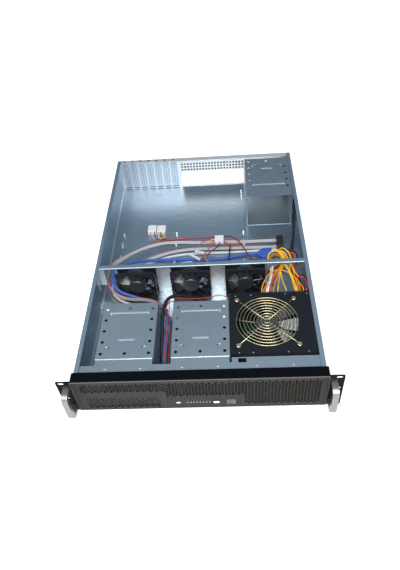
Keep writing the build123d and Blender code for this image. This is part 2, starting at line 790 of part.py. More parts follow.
def fan_screws():
    # Pan heads on the rear of the fan wall, each with a shank that ends in the fan's flange
    tip_y = wall_y - steel - fan_flange + shank_tip_gap
    screws = []
    for spot in fan_screw_spots():
        head = along(Pos(*spot) * Circle(screw_head / 2), wall_y, wall_y + fan_screw_head_high)
        screws.append(head.fuse(along(Pos(*spot) * Circle(shank_size / 2), tip_y, wall_y)).solid())
    return group(screws)


# Power supply

def psu_case():
    path = [(psu_front_y, psu_top_z - steel), (psu_front_y, psu_low_z), (psu_rear_y, psu_low_z)]
    path.append((psu_rear_y, psu_top_z - steel))
    left = psu_right_x - psu_wide + steel
    case = across(folded(path), left, psu_right_x - steel)
    cuts = [
        along(Pos(inlet_x, inlet_z) * Rectangle(inlet_wide, inlet_high),
              psu_front_y - 1, psu_front_y + 2 * steel),
        along(Pos(rocker_x, inlet_z)
              * Rectangle(rocker_wide + 2 * rocker_gap, 2 * (rocker_radius + rocker_gap)),
              psu_front_y - 1, psu_front_y + 2 * steel),
    ]
    return case.cut(*cuts).solid()


def psu_lid():
    left = psu_right_x - psu_wide
    path = [(left, psu_low_z), (left, psu_top_z), (psu_right_x, psu_top_z)]
    path.append((psu_right_x, psu_low_z))
    lid = along(folded(path[::-1]), psu_front_y, psu_rear_y)
    openings = [Pos(psu_fan_x, psu_fan_y) * Circle(psu_fan_bore / 2)]
    openings += [Pos(*spot) * Circle(shank_hole / 2) for spot in corner_spots()]
    cuts = [upward(opening, psu_top_z - 2 * steel, psu_top_z + 1) for opening in openings]
    return lid.cut(*cuts).solid()


def psu_board():
    # The circuit board on four studs, with its two heat sinks and the transformer between them
    left = psu_right_x - psu_wide + psu_board_inset
    right = psu_right_x - psu_board_inset
    front = psu_front_y + psu_board_front
    rear = psu_rear_y - psu_board_inset
    low = psu_low_z + steel
    face = low + psu_board_lift + psu_board_thick
    board = upward(rectangle(left, front, right, rear), low + psu_board_lift, face)
    parts = []
    for x in (left + heat_sink_left, right - heat_sink_right - heat_sink_thick):
        sink = rectangle(x, front + psu_board_inset, x + heat_sink_thick, rear - psu_board_inset)
        parts.append(upward(sink, face - psu_board_thick / 2, face + heat_sink_high))
    near_x, near_y, far_x, far_y = transformer
    core = rectangle(left + near_x, front + near_y, left + far_x, front + far_y)
    parts.append(upward(core, face - psu_board_thick / 2, face + transformer_high))
    for x in (left + stud_size, right - stud_size):
        for y in (front + stud_size, rear - stud_size):
            parts.append(upward(Pos(x, y) * Circle(stud_size / 2), low, face - psu_board_thick / 2))
    return board.fuse(*parts).solid()


def psu_grille():
    # Concentric wires in one plane, carried by four spokes that end in eyes under the screws
    half = grille_wire / 2
    wires = []
    for index in range(grille_rings):
        radius = grille_first + index * grille_pitch
        ring = plate(Circle(radius + half), [Circle(radius - half)])
        wires.append(upward(ring, psu_top_z, psu_top_z + grille_wire))
    reach = psu_screw_pitch / math.sqrt(2)
    spoke_end = reach - (grille_eye + grille_screw_head) / 4
    for turn in (45, 135, 225, 315):
        spoke = Pos((spoke_end + grille_first) / 2, 0) * Rectangle(spoke_end - grille_first, grille_wire)
        wires.append(upward(Rot(0, 0, turn) * spoke, psu_top_z, psu_top_z + grille_wire))
        eye = Rot(0, 0, turn) * Pos(reach, 0) * plate(Circle(grille_eye / 2), [Circle(shank_hole / 2)])
        wires.append(upward(eye, psu_top_z, psu_top_z + grille_eye_thick))
    return (Pos(psu_fan_x, psu_fan_y) * wires[0].fuse(*wires[1:])).solid()


def corner_spots():
    half = psu_screw_pitch / 2
    return [(psu_fan_x + sx * half, psu_fan_y + sy * half) for sx in (-1, 1) for sy in (-1, 1)]


def psu_grille_screws():
    # Heads on the grille's eyes, with shanks through the lid into the fan's corner holes
    seat_z = psu_top_z + grille_eye_thick
    tip_z = psu_top_z - steel - fan_flange + shank_tip_gap
    screws = []
    for spot in corner_spots():
        head = upward(Pos(*spot) * Circle(grille_screw_head / 2), seat_z, seat_z + grille_screw_high)
        screws.append(head.fuse(upward(Pos(*spot) * Circle(shank_size / 2), tip_z, seat_z)).solid())
    return group(screws)


def appliance_inlet(x, z, face_y, outward):
    # A snap-in inlet: flange outside, body inside, a recess with three blades
    def block(dx, dz, wide, high, y_start, y_end):
        shape = Pos(x + dx, z + dz) * Rectangle(wide, high)
        return along(shape, min(y_start, y_end), max(y_start, y_end))

    outer = face_y + outward * inlet_flange
    bottom = face_y - outward * (inlet_deep - inlet_back)
    body = block(0, 0, inlet_wide, inlet_high, face_y, face_y - outward * inlet_deep)
    rim_wide = inlet_wide + 2 * inlet_rim
    body = body.fuse(block(0, 0, rim_wide, inlet_high + 2 * inlet_rim, face_y, outer))
    hollow_wide = inlet_wide - 2 * inlet_wall
    hollow_high = inlet_high - 2 * inlet_wall
    body = body.cut(block(0, 0, hollow_wide, hollow_high, outer + outward, bottom))
    tip = face_y - outward * inlet_blade_inset
    blades = [block(dx, dz, *inlet_blade, bottom - outward, tip) for dx, dz in inlet_blades]
    return body.fuse(*blades).solid()


def psu_switch():
    # A rocker: a disc on the hinge line, its front cut to two flats
    hinge_y = psu_front_y + rocker_hinge_in
    disc = across(Pos(hinge_y, inlet_z) * Circle(rocker_radius),
                  rocker_x - rocker_wide / 2, rocker_x + rocker_wide / 2)
    deep = 2 * rocker_radius
    cuts = []
    for side in (-1, 1):
        ridge_line = Pos(rocker_x, psu_front_y - rocker_proud, inlet_z) * Rot(side * rocker_lean, 0, 0)
        cuts.append(ridge_line * Pos(0, -deep / 2, 0) * Box(2 * rocker_wide, deep, 4 * deep))
    return disc.cut(*cuts).solid()


# Cords and plugs

def cord(width, points):
    # A round tube on straight runs and tangent arcs, each arc as large as its two runs allow
    corners = [Vector(*point) for point in points]
    radii = []
    for before, here, after in zip(corners, corners[1:], corners[2:]):
        shorter = min((here - before).length, (after - here).length)
        turn = math.radians((here - before).get_angle(after - here))
        radii.append(0.45 * shorter / math.tan(turn / 2))
    path = FilletPolyline(*points, radius=radii)
    start = Plane(origin=path @ 0, z_dir=path % 0)
    tube = sweep(start * Circle(width / 2), path=path).solid()
    section = math.pi * width ** 2 / 4
    print(f"radii {[round(r) for r in radii]} length {path.length:.0f} "
          f"volume share {tube.volume / (section * path.length):.4f}")
    return tube


def plug(x_left, y_front, size, z_low=floor_z + seat_gap, edge=plug_edge):
    long_x, long_y, high = size
    body = upward(rectangle(x_left, y_front, x_left + long_x, y_front + long_y), z_low, z_low + high)
    return chamfer(body.edges(), edge).solid()


def routed(point):
    # A typed point of a route, moved with the walls, the rear panel and the top
    x, y, z = point
    behind = max(0.0, (y - routed_still_y) / (routed_depth - routed_still_y))
    y += (body_depth - routed_depth) * behind
    z += (body_height - routed_height) * (z / routed_height) ** 2
    return (x * body_width / routed_width, y, z)


def cord_end(name):
    return routed(cords[name][1][-1])


def main_power_plug():
    end_x, end_y, _ = cord_end("loom_left")
    middle = (end_y + cord_end("loom_right")[1]) / 2
    return plug(end_x - main_plug[0], middle - main_plug[1] / 2, main_plug)


def signal_plug():
    end_x, end_y, _ = cord_end("ribbon_upper")
    return plug(end_x, end_y - signal_plug_front, signal_plug_size)


def blue_plug():
    end_x, end_y, _ = cord_end("blue_lead")
    return plug(end_x, end_y - blue_plug_front, blue_plug_size)


def drive_power_plug():
    # Two plugs side by side: the lead ends in the first
    x, y, _ = cord_end("drive_power_lead")
    left = x - drive_plug_size[0] / 2
    second = plug(left - drive_plug_pitch, y + drive_plug_step, drive_plug_size)
    return group([plug(left, y, drive_plug_size), second])


def fan_power_plug():
    x, y, z = cord_end("fan_power_lead")
    return plug(x - fan_plug_size[0] / 2, y, fan_plug_size, z - fan_plug_size[2] / 2)


def ac_plug():
    # The lead comes in from the side, and the plug's nose meets the inlet's flange
    end_x, end_y, _ = cord_end("ac_lead")
    front = end_y - ac_plug_front
    size = (ac_plug_long, psu_front_y - inlet_flange - front, ac_plug_wide)
    return plug(end_x - ac_plug_long, front, size, inlet_z - ac_plug_wide / 2, ac_plug_edge)


def cage_screw_spots():
    # Two on each front flange, two in front of the power supply
    spots = [(x + side * cage_screw_x, cage_screw_y, flange_top)
             for x in (cage_left_x, cage_middle_x) for side in (-1, 1)]
    return spots + [(psu_centre_x + side * cage_screw_x, cage_screw_y, lip_top) for side in (-1, 1)]


def slot_screw_spots():
    y = body_depth - rear_flange / 2 - steel / 2
    return [(x, y, body_height) for x in slot_xs()]


def case_screws():
    return group(screw(*spot) for spot in cage_screw_spots() + slot_screw_spots())


def build():
    pieces = {
        "base_tray": base_tray(),
        "board_studs": board_studs(),
        "rear_panel": rear_panel(),
        "front_frame": front_frame(),
        "fan_wall": fan_wall(),
        "front_panel": front_panel(),
        "bezel": bezel(),
        "bay_cover": bay_cover(),
        "control_panel": control_panel(),
        "power_button": push_button(button_x, button_z, button_wide, button_high),
        "reset_button": push_button(reset_x, marks_z, reset_wide, reset_high),
        "usb_ports": usb_ports(),
        "status_lights": status_lights(),
        "front_board": front_board(),
        "handle_left": handle(-1),
        "handle_right": handle(1),
        "case_screws": case_screws(),
        "fan_screws": fan_screws(),
        "psu_case": psu_case(),
        "psu_lid": psu_lid(),
        "psu_board": psu_board(),
        "psu_grille": psu_grille(),
        "psu_grille_screws": psu_grille_screws(),
        "psu_inlet": appliance_inlet(inlet_x, inlet_z, psu_front_y, -1),
        "psu_switch": psu_switch(),
        "rear_inlet": appliance_inlet(rear_inlet_x, rear_inlet_z, body_depth, 1),
        "ac_plug": ac_plug(),
        "signal_plug": signal_plug(),
        "blue_plug": blue_plug(),
        "main_power_plug": main_power_plug(),
        "drive_power_plug": drive_power_plug(),
        "fan_power_plug": fan_power_plug(),
    }
    front_cage = (cage_front_y, cage_long, cage_long, cage_flange_front_y, False)
    pieces["drive_cage_left"] = drive_cage(cage_left_x, *front_cage)
    pieces["drive_cage_middle"] = drive_cage(cage_middle_x, *front_cage)
    pieces["drive_cage_rear"] = drive_cage(
        rear_cage_x, rear_cage_front_y, rear_cage_long, rear_cage_wall_long, rear_cage_front_y, True)
    for index, x in enumerate(slot_xs()):
        pieces[f"slot_cover_{index + 1}"] = slot_cover(x)
    small = fan_frame(fan_size, fan_deep, fan_bore, fan_hub, fan_hole_pitch)
    wheel = fan_rotor(fan_deep, fan_bore, fan_hub, fan_blades)
    for index, x in enumerate(fan_xs):
        pieces[f"fan_frame_{index + 1}"] = case_fan_place(x) * small
        pieces[f"fan_rotor_{index + 1}"] = case_fan_place(x) * wheel
    large = fan_frame(psu_fan_size, fan_deep, psu_fan_bore, psu_fan_hub, psu_screw_pitch)
    pieces["psu_fan_frame"] = psu_fan_place() * large
    large_wheel = fan_rotor(fan_deep, psu_fan_bore, psu_fan_hub, psu_fan_blades)
    pieces["psu_fan_rotor"] = psu_fan_place() * large_wheel
    for name, (width, points) in cords.items():
        pieces[name] = cord(width, [routed(point) for point in points])
    return pieces


os.makedirs("parts", exist_ok=True)
for name, shape in build().items():
    export_step(Pos(0, rack_plane_y, 0) * shape, f"parts/{name}.step")
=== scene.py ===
# Open rackmount server case: finishes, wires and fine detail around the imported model
import json
import math
import random

import bmesh
import bpy
from mathutils import Matrix, Vector
from mathutils.kdtree import KDTree


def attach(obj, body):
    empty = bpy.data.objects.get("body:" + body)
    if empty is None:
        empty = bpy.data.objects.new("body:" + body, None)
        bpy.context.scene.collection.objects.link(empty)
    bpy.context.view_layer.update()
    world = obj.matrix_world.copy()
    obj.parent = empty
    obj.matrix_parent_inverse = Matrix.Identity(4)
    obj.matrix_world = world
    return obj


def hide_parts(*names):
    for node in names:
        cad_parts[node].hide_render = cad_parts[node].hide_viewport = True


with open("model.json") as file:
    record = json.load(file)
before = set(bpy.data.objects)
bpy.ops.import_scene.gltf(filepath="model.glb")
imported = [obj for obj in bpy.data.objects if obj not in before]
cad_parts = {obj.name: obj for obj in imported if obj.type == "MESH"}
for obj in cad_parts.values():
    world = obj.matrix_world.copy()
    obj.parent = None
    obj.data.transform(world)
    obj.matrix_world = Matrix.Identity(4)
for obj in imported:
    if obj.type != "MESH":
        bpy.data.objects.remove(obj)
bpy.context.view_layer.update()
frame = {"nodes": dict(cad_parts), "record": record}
print("frame loaded,", len(frame["nodes"]), "nodes")

# Shapes are given in millimetres. Lamps, floor and the depth of bumps are in metres.

# The ears' rear faces are 1 mm behind the mount at their slots
earInset = 0.001
mounts = {mount["name"]: mount for mount in frame["record"]["mounts"]}
rackPlaneY = mounts["rack_slots_outer"]["pos_m"][1] + earInset
caseBody = "case"
quarterTurn = math.pi / 2


def place(x, y, z):
    # Millimetres from the rack plane, the rear face of the ears, to metres in the shared frame
    return Vector((x / 1000, y / 1000 + rackPlaneY, z / 1000))


def linked(name, data):
    # A new object of the scene
    item = bpy.data.objects.new(name, data)
    bpy.context.scene.collection.objects.link(item)
    return item


# Camera, light and floor

cameraSet = {
    "location": (65.6, -494.3, 837.0),
    "yaw": -0.092351,
    "pitch": 0.813105,
    "roll": -0.103907,
    "focalPixels": 536.0,
    "longSidePixels": 570.0,
    "sensor": 36.0,
    "clip": (0.01, 50),
}

lightSet = {
    # Tones of the room behind the case, by the height of the direction, and of the room in front
    "rearTones": [
        (0.0, (0.32, 0.34, 0.36)), (0.50, (0.07, 0.105, 0.14)), (0.62, (0.11, 0.16, 0.21)),
        (0.72, (0.20, 0.26, 0.32)), (0.84, (0.38, 0.45, 0.51)), (1.0, (0.60, 0.65, 0.70)),
    ],
    "frontTone": (0.80, 0.82, 0.84),
    "frontFrom": 0.15,
    "frontTo": -0.35,
    "floorColour": (0.93, 0.93, 0.93),
    "floorRough": 0.9,
    "floorSpecular": 0.1,
    "floorLift": 0.55,
    "floorHalf": 6.0,
    "lamps": [
        # place, aim, size, power, tint
        ((0.07, -1.27, 1.27), (0.0, 0.05, 0.0), 1.3, 24.0, (1.0, 0.995, 0.985)),
        ((-1.3, -0.9, 1.3), (0.0, 0.0, 0.0), 0.8, 6.0, (0.97, 0.99, 1.0)),
    ],
}


def makeCamera():
    yaw = cameraSet["yaw"]
    pitch = cameraSet["pitch"]
    roll = cameraSet["roll"]
    forward = Vector((
        math.sin(yaw) * math.cos(pitch), math.cos(yaw) * math.cos(pitch), -math.sin(pitch)))
    right = Vector((math.cos(yaw), -math.sin(yaw), 0))
    up = right.cross(forward)
    turnedRight = right * math.cos(roll) + up * math.sin(roll)
    turnedUp = up * math.cos(roll) - right * math.sin(roll)
    data = bpy.data.cameras.new("camera")
    data.sensor_width = cameraSet["sensor"]
    data.lens = cameraSet["focalPixels"] / cameraSet["longSidePixels"] * cameraSet["sensor"]
    data.clip_start, data.clip_end = cameraSet["clip"]
    camera = linked("camera", data)
    turn = Matrix((turnedRight, turnedUp, -forward)).transposed().to_4x4()
    camera.matrix_world = Matrix.Translation(place(*cameraSet["location"])) @ turn
    bpy.context.scene.camera = camera


def setValues(node, values):
    for socket, value in values.items():
        node.inputs[socket].default_value = value


def addNode(tree, kind, **values):
    # A shader node with the values of its own sockets, a word each
    node = tree.nodes.new(f"ShaderNode{kind}")
    setValues(node, values)
    return node


def mixOn(tree, second, first=None):
    # A mix of two colours, where a link may give the first
    mix = addNode(tree, "Mix")
    mix.data_type = "RGBA"
    if first:
        mix.inputs["A"].default_value = (*first, 1)
    mix.inputs["B"].default_value = (*second, 1)
    return mix


def makeWorld():
    world = bpy.data.worlds.new("studio")
    bpy.context.scene.world = world
    world.use_nodes = True
    tree = world.node_tree
    tree.nodes.clear()
    coords = addNode(tree, "TexCoord")
    split = addNode(tree, "SeparateXYZ")
    ramp = addNode(tree, "ValToRGB")
    stops = ramp.color_ramp.elements
    for where, tone in lightSet["rearTones"][1:-1]:
        stops.new(where)
    for stop, (where, tone) in zip(stops, lightSet["rearTones"]):
        stop.position = where
        stop.color = (*tone, 1)
    side = addNode(tree, "MapRange")
    setValues(side, {"From Min": lightSet["frontFrom"], "From Max": lightSet["frontTo"]})
    blend = mixOn(tree, lightSet["frontTone"])
    paths = addNode(tree, "LightPath")
    seen = mixOn(tree, (1, 1, 1))
    sky = addNode(tree, "Background")
    out = addNode(tree, "OutputWorld")
    for source, target in (
        (coords.outputs["Generated"], split.inputs[0]),
        (split.outputs["Z"], ramp.inputs["Fac"]),
        (split.outputs["Y"], side.inputs["Value"]),
        (side.outputs["Result"], blend.inputs["Factor"]),
        (ramp.outputs["Color"], blend.inputs["A"]),
        (blend.outputs["Result"], seen.inputs["A"]),
        (paths.outputs["Is Camera Ray"], seen.inputs["Factor"]),
        (seen.outputs["Result"], sky.inputs["Color"]),
        (sky.outputs[0], out.inputs[0]),
    ):
        tree.links.new(source, target)


def makeLamps():
    for index, (where, aim, size, power, tint) in enumerate(lightSet["lamps"]):
        data = bpy.data.lights.new(f"softbox{index}", "AREA")
        data.size = size
        data.energy = power
        data.color = tint
        lamp = linked(f"softbox{index}", data)
        lamp.location = where
        lamp.rotation_euler = (Vector(aim) - Vector(where)).to_track_quat("-Z", "Y").to_euler()


def makeFloor():
    bm = bmesh.new()
    bmesh.ops.create_grid(bm, x_segments=1, y_segments=1, size=lightSet["floorHalf"])
    floor = pieceFrom(bm, "floor")
    material = startMaterial("floorPaper", lightSet["floorColour"], lightSet["floorRough"],
                             specular=lightSet["floorSpecular"])
    tree = material.node_tree
    glow = addNode(tree, "Math")
    glow.operation = "MULTIPLY"
    glow.inputs[1].default_value = lightSet["floorLift"]
    paths = addNode(tree, "LightPath")
    tree.links.new(paths.outputs["Is Camera Ray"], glow.inputs[0])
    setValues(tree.nodes["Principled BSDF"], {"Emission Color": (1, 1, 1, 1)})
    intoShader(tree, glow.outputs[0], "Emission Strength")
    floor.data.materials.append(material)


# Small tools for meshes

def pieceFrom(bm, name, smooth=False):
    mesh = bpy.data.meshes.new(name)
    bm.to_mesh(mesh)
    bm.free()
    if smooth:
        mesh.shade_smooth()
    return linked(name, mesh)


def dress(piece, materials, body=caseBody, replaced=()):
    for material in materials:
        piece.data.materials.append(finishes[material])
    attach(piece, body)
    if replaced:
        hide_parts(*replaced)


def addBox(bm, low, high):
    # A box between two opposite corners
    start = place(*low)
    end = place(*high)
    size = Matrix.Diagonal((*(end - start), 1))
    bmesh.ops.create_cube(bm, size=1, matrix=Matrix.Translation((start + end) / 2) @ size)


def addDisc(bm, spot, foot, head, depth, segments, lean=0.0):
    # A short round body on its middle, with the radii of both ends, leaning about Y
    turn = Matrix.Rotation(math.radians(lean), 4, "Y")
    bmesh.ops.create_cone(
        bm, cap_ends=True, segments=segments, radius1=foot / 1000, radius2=head / 1000,
        depth=depth / 1000, matrix=Matrix.Translation(place(*spot)) @ turn)


def addBar(bm, matrix, radius, depth, segments):
    # A round bar about the matrix's own Z axis, in metres
    bmesh.ops.create_cone(bm, cap_ends=True, segments=segments, radius1=radius, radius2=radius,
                          depth=depth, matrix=matrix)


def rounded(bm, edges, reach, segments, material=-1):
    bmesh.ops.bevel(bm, geom=edges, offset=reach / 1000, segments=segments, profile=0.5,
                    affect="EDGES", material=material)


# Finishes

# Noise seldom leaves the middle of its range, which is spread over the whole of what it drives
noiseLow = 0.3
noiseHigh = 0.7


def startMaterial(name, colour, roughness, metallic=0.0, specular=None):
    material = bpy.data.materials.new(name)
    material.use_nodes = True
    values = {"Base Color": (*colour, 1), "Roughness": roughness, "Metallic": metallic}
    if specular is not None:
        values["Specular IOR Level"] = specular
    setValues(material.node_tree.nodes["Principled BSDF"], values)
    return material


def intoShader(tree, source, socket):
    tree.links.new(source, tree.nodes["Principled BSDF"].inputs[socket])


def noiseOn(tree, scale, stretch, detail):
    coords = addNode(tree, "TexCoord")
    mapping = addNode(tree, "Mapping", Scale=stretch)
    noise = addNode(tree, "TexNoise", Scale=scale, Detail=detail)
    tree.links.new(coords.outputs["Object"], mapping.inputs["Vector"])
    tree.links.new(mapping.outputs["Vector"], noise.inputs["Vector"])
    return noise.outputs["Fac"]


def glossOn(tree, source, low, high):
    reach = addNode(tree, "MapRange")
    setValues(reach, {"From Min": noiseLow, "From Max": noiseHigh, "To Min": low, "To Max": high})
    tree.links.new(source, reach.inputs["Value"])
    intoShader(tree, reach.outputs["Result"], "Roughness")


def twoTone(tree, source, first, second):
    blend = mixOn(tree, second, first)
    tree.links.new(source, blend.inputs["Factor"])
    intoShader(tree, blend.outputs["Result"], "Base Color")


def bumpOn(tree, source, strength, depth):
    bump = addNode(tree, "Bump", Strength=strength, Distance=depth)
    tree.links.new(source, bump.inputs["Height"])
    intoShader(tree, bump.outputs["Normal"], "Normal")


steelSet = {
    "rough": (0.26, 0.40),
    "metallic": 0.85,
    "specular": 0.5,
    "grain": (60.0, (1.0, 9.0, 9.0), 6.0),
    "cloud": (9.0, (1, 1, 1), 2.0),
    "spangleScale": 140.0,
    "spangleShare": 0.25,
    "bump": 0.12,
    "bumpDepth": 0.0002,
}

steelTones = {
    # light, dark
    "galvanisedSteel": ((0.47, 0.585, 0.68), (0.35, 0.46, 0.56)),
    "cageSteel": ((0.48, 0.56, 0.63), (0.38, 0.46, 0.53)),
    # painted highlight: a much lighter copy of the sheet steel, for faces that catch the light
    "highlightSteel": ((0.95, 0.92, 0.89), (0.84, 0.82, 0.80)),
    # painted light: a lighter, warmer copy of the galvanised steel for the rear panel's inner face
    "rearLitSteel": ((0.76, 0.71, 0.67), (0.64, 0.60, 0.57)),
    "brightSteel": ((0.56, 0.60, 0.64), (0.44, 0.48, 0.52)),
}


def galvanised(name, light, dark):
    # Zinc-coated sheet: rolled grain, faint spangle and a satin gloss that changes a little
    rough = steelSet["rough"]
    material = startMaterial(name, light, rough[0], steelSet["metallic"], steelSet["specular"])
    tree = material.node_tree
    grain = noiseOn(tree, *steelSet["grain"])
    cloud = noiseOn(tree, *steelSet["cloud"])
    spangle = addNode(tree, "TexVoronoi", Scale=steelSet["spangleScale"])
    coords = addNode(tree, "TexCoord")
    tree.links.new(coords.outputs["Object"], spangle.inputs["Vector"])
    shade = addNode(tree, "Math")
    shade.operation = "MULTIPLY_ADD"
    shade.inputs[1].default_value = steelSet["spangleShare"]
    tree.links.new(spangle.outputs["Distance"], shade.inputs[0])
    tree.links.new(cloud, shade.inputs[2])
    twoTone(tree, shade.outputs[0], dark, light)
    glossOn(tree, grain, *rough)
    bumpOn(tree, grain, steelSet["bump"], steelSet["bumpDepth"])
    return material


plainSet = {
    "grainDetail": 4.0,
    "bumpDepth": 0.0003,
}

plainTones = {
    # two near tones, least and most roughness, and what else differs from a plain finish
    "blackPaint": ((0.006, 0.008, 0.012), (0.012, 0.015, 0.021), (0.34, 0.46),
                   {"scale": 900, "bump": 0.25, "specular": 0.28}),
    "bezelPaint": ((0.014, 0.012, 0.009), (0.022, 0.018, 0.014), (0.42, 0.56),
                   {"scale": 900, "bump": 0.3, "specular": 0.4}),
    # the front panel's black paint, used also as the painted shade in the cages' holes and under the slot
    # covers
    "boxPaint": ((0.0015, 0.002, 0.003), (0.003, 0.004, 0.006), (0.40, 0.52),
                 {"scale": 900, "bump": 0.25, "specular": 0.08}),
    # painted highlight on the bezel's rounded rim
    "rimPaint": ((0.085, 0.09, 0.09), (0.12, 0.125, 0.125), (0.30, 0.42),
                 {"scale": 900, "bump": 0.3}),
    "stripBrown": ((0.055, 0.022, 0.012), (0.075, 0.03, 0.016), (0.42, 0.56), {"scale": 900}),
    # painted highlight on the top of the rear panel's folded edge
    "flangeSteel": ((0.46, 0.48, 0.50), (0.39, 0.41, 0.44), (0.45, 0.55), {"scale": 60}),
    "holeBrown": ((0.10, 0.062, 0.048), (0.14, 0.09, 0.07), (0.6, 0.7), {"scale": 180}),
    # painted shade round the edge of the slot covers' pressed lozenges
    "embossGrey": ((0.16, 0.19, 0.22), (0.22, 0.25, 0.28), (0.4, 0.5), {"scale": 180}),
    "bayShade": ((0.20, 0.26, 0.36), (0.25, 0.32, 0.44), (0.35, 0.5), {}),
    "handleMetal": ((0.47, 0.46, 0.44), (0.36, 0.355, 0.34), (0.24, 0.38),
                    {"metallic": 1, "scale": 90, "bump": 0.15, "stretch": (14, 1, 1)}),
    "screwZinc": ((0.80, 0.80, 0.79), (0.62, 0.62, 0.60), (0.18, 0.3), {"metallic": 1, "scale": 400}),
    "brassWire": ((0.86, 0.77, 0.52), (0.74, 0.64, 0.38), (0.16, 0.28), {"metallic": 1}),
    "nickel": ((0.78, 0.80, 0.83), (0.66, 0.68, 0.71), (0.18, 0.28), {"metallic": 1}),
    "whiteNylon": ((0.84, 0.85, 0.88), (0.76, 0.77, 0.80), (0.34, 0.46), {}),
    "lightPipe": ((0.78, 0.78, 0.74), (0.68, 0.68, 0.64), (0.2, 0.3), {}),
    "blackPlastic": ((0.016, 0.016, 0.018), (0.026, 0.026, 0.028), (0.32, 0.46), {"scale": 600}),
    "fanPlastic": ((0.010, 0.011, 0.014), (0.018, 0.019, 0.023), (0.22, 0.36), {"scale": 500}),
    "bladePlastic": ((0.022, 0.025, 0.030), (0.034, 0.038, 0.045), (0.14, 0.24),
                     {"scale": 400, "specular": 0.8}),
    "clearBlade": ((0.030, 0.033, 0.038), (0.045, 0.050, 0.058), (0.08, 0.16),
                   {"scale": 400, "specular": 1.0}),
    "bluePlastic": ((0.04, 0.12, 0.52), (0.06, 0.16, 0.62), (0.28, 0.4), {}),
    "circuitGreen": ((0.02, 0.13, 0.07), (0.03, 0.17, 0.09), (0.25, 0.4), {"scale": 700}),
    "blackSheath": ((0.013, 0.013, 0.014), (0.022, 0.022, 0.023), (0.4, 0.55), {"scale": 500}),
    "greySheath": ((0.50, 0.51, 0.53), (0.60, 0.61, 0.63), (0.38, 0.5), {}),
    "whiteSheath": ((0.80, 0.80, 0.80), (0.72, 0.72, 0.72), (0.38, 0.5), {}),
    "redSheath": ((0.55, 0.03, 0.03), (0.66, 0.05, 0.04), (0.32, 0.42), {}),
    "blueSheath": ((0.04, 0.13, 0.56), (0.07, 0.19, 0.66), (0.34, 0.46), {}),
    "yellowSheath": ((0.88, 0.50, 0.02), (0.94, 0.60, 0.05), (0.32, 0.42), {}),
    "orangeSheath": ((0.80, 0.26, 0.02), (0.88, 0.33, 0.04), (0.32, 0.42), {}),
}


def plainFinish(name, first, second, rough, scale=300.0, metallic=0.0, bump=0.1, stretch=(1, 1, 1),
                specular=None):
    # A finish in two near tones, with a fine grain in its colour, gloss and surface
    material = startMaterial(name, first, rough[0], metallic, specular)
    tree = material.node_tree
    grain = noiseOn(tree, scale, stretch, plainSet["grainDetail"])
    twoTone(tree, grain, first, second)
    glossOn(tree, grain, *rough)
    bumpOn(tree, grain, bump, plainSet["bumpDepth"])
    return material


finishes = {name: galvanised(name, *tones) for name, tones in steelTones.items()}
for name, (first, second, rough, others) in plainTones.items():
    finishes[name] = plainFinish(name, first, second, rough, **others)
print("finishes made,", len(finishes))

slotCovers = [f"slot_cover_{index + 1}" for index in range(7)]
nodeFinishes = {
    "galvanisedSteel": ["base_tray", "rear_panel", "fan_wall"],
    "cageSteel": ["front_frame", "drive_cage_left", "drive_cage_middle", "drive_cage_rear"],
    "brightSteel": slotCovers,
    "boxPaint": ["front_panel"],
    "bezelPaint": ["control_panel", "power_button"],
    "blackPaint": ["psu_case", "psu_lid"],
    "whiteNylon": ["reset_button", "drive_power_plug", "fan_power_plug"],
    "nickel": ["usb_ports"],
    "lightPipe": ["status_lights"],
    "circuitGreen": ["front_board", "psu_board"],
    "handleMetal": ["handle_left", "handle_right"],
    "screwZinc": ["case_screws", "board_studs", "fan_screws"],
    "brassWire": ["psu_grille_screws"],
    "fanPlastic": ["psu_fan_frame", "fan_frame_1", "fan_frame_2", "fan_frame_3"],
    "bladePlastic": ["fan_rotor_1", "fan_rotor_2", "fan_rotor_3"],
    "clearBlade": ["psu_fan_rotor"],
    "blackPlastic": ["psu_inlet", "psu_switch", "rear_inlet", "signal_plug", "main_power_plug"],
    "blackSheath": ["ac_plug"],
    "bluePlastic": ["blue_plug"],
}
for finish, nodes in nodeFinishes.items():
    for node in nodes:
        piece = frame["nodes"][node]
        piece.data.materials.clear()
        piece.data.materials.append(finishes[finish])

# A face counts as facing a way when this share of its normal points there
facing = 0.7
# The fan wall's front below the bar, its right leg, and the folded edge on top of the rear panel
fanWallTop = 0.074
rightLegX = 0.19
rearEdgeZ = 0.08


# The chosen faces of a part take a second finish that paints light onto them
def paintLitFaces(node, finish, chosen):
    piece = frame["nodes"][node]
    piece.data.materials.append(finishes[finish])
    index = len(piece.data.materials) - 1
    for face in piece.data.polygons:
        if chosen(face):
            face.material_index = index


# Painted highlight on the fan wall's front below the bar and on its right leg
paintLitFaces("fan_wall", "highlightSteel", lambda face: face.normal.y < -facing and face.center.z < fanWallTop)
paintLitFaces("fan_wall", "highlightSteel", lambda face: face.normal.x < -facing and face.center.x > rightLegX)
# Painted light on the rear panel's inner face
paintLitFaces("rear_panel", "rearLitSteel", lambda face: face.normal.y < -facing)
# Painted highlight on the top of the folded edge of the rear panel and of the slot covers
for node in ["rear_panel"] + slotCovers:
    paintLitFaces(node, "flangeSteel", lambda face: face.normal.z > facing and face.center.z > rearEdgeZ)
print("nodes painted,", sum(len(nodes) for nodes in nodeFinishes.values()))


# Drive cages: a painted highlight on the pressed ribs, and painted shade in the dark round holes

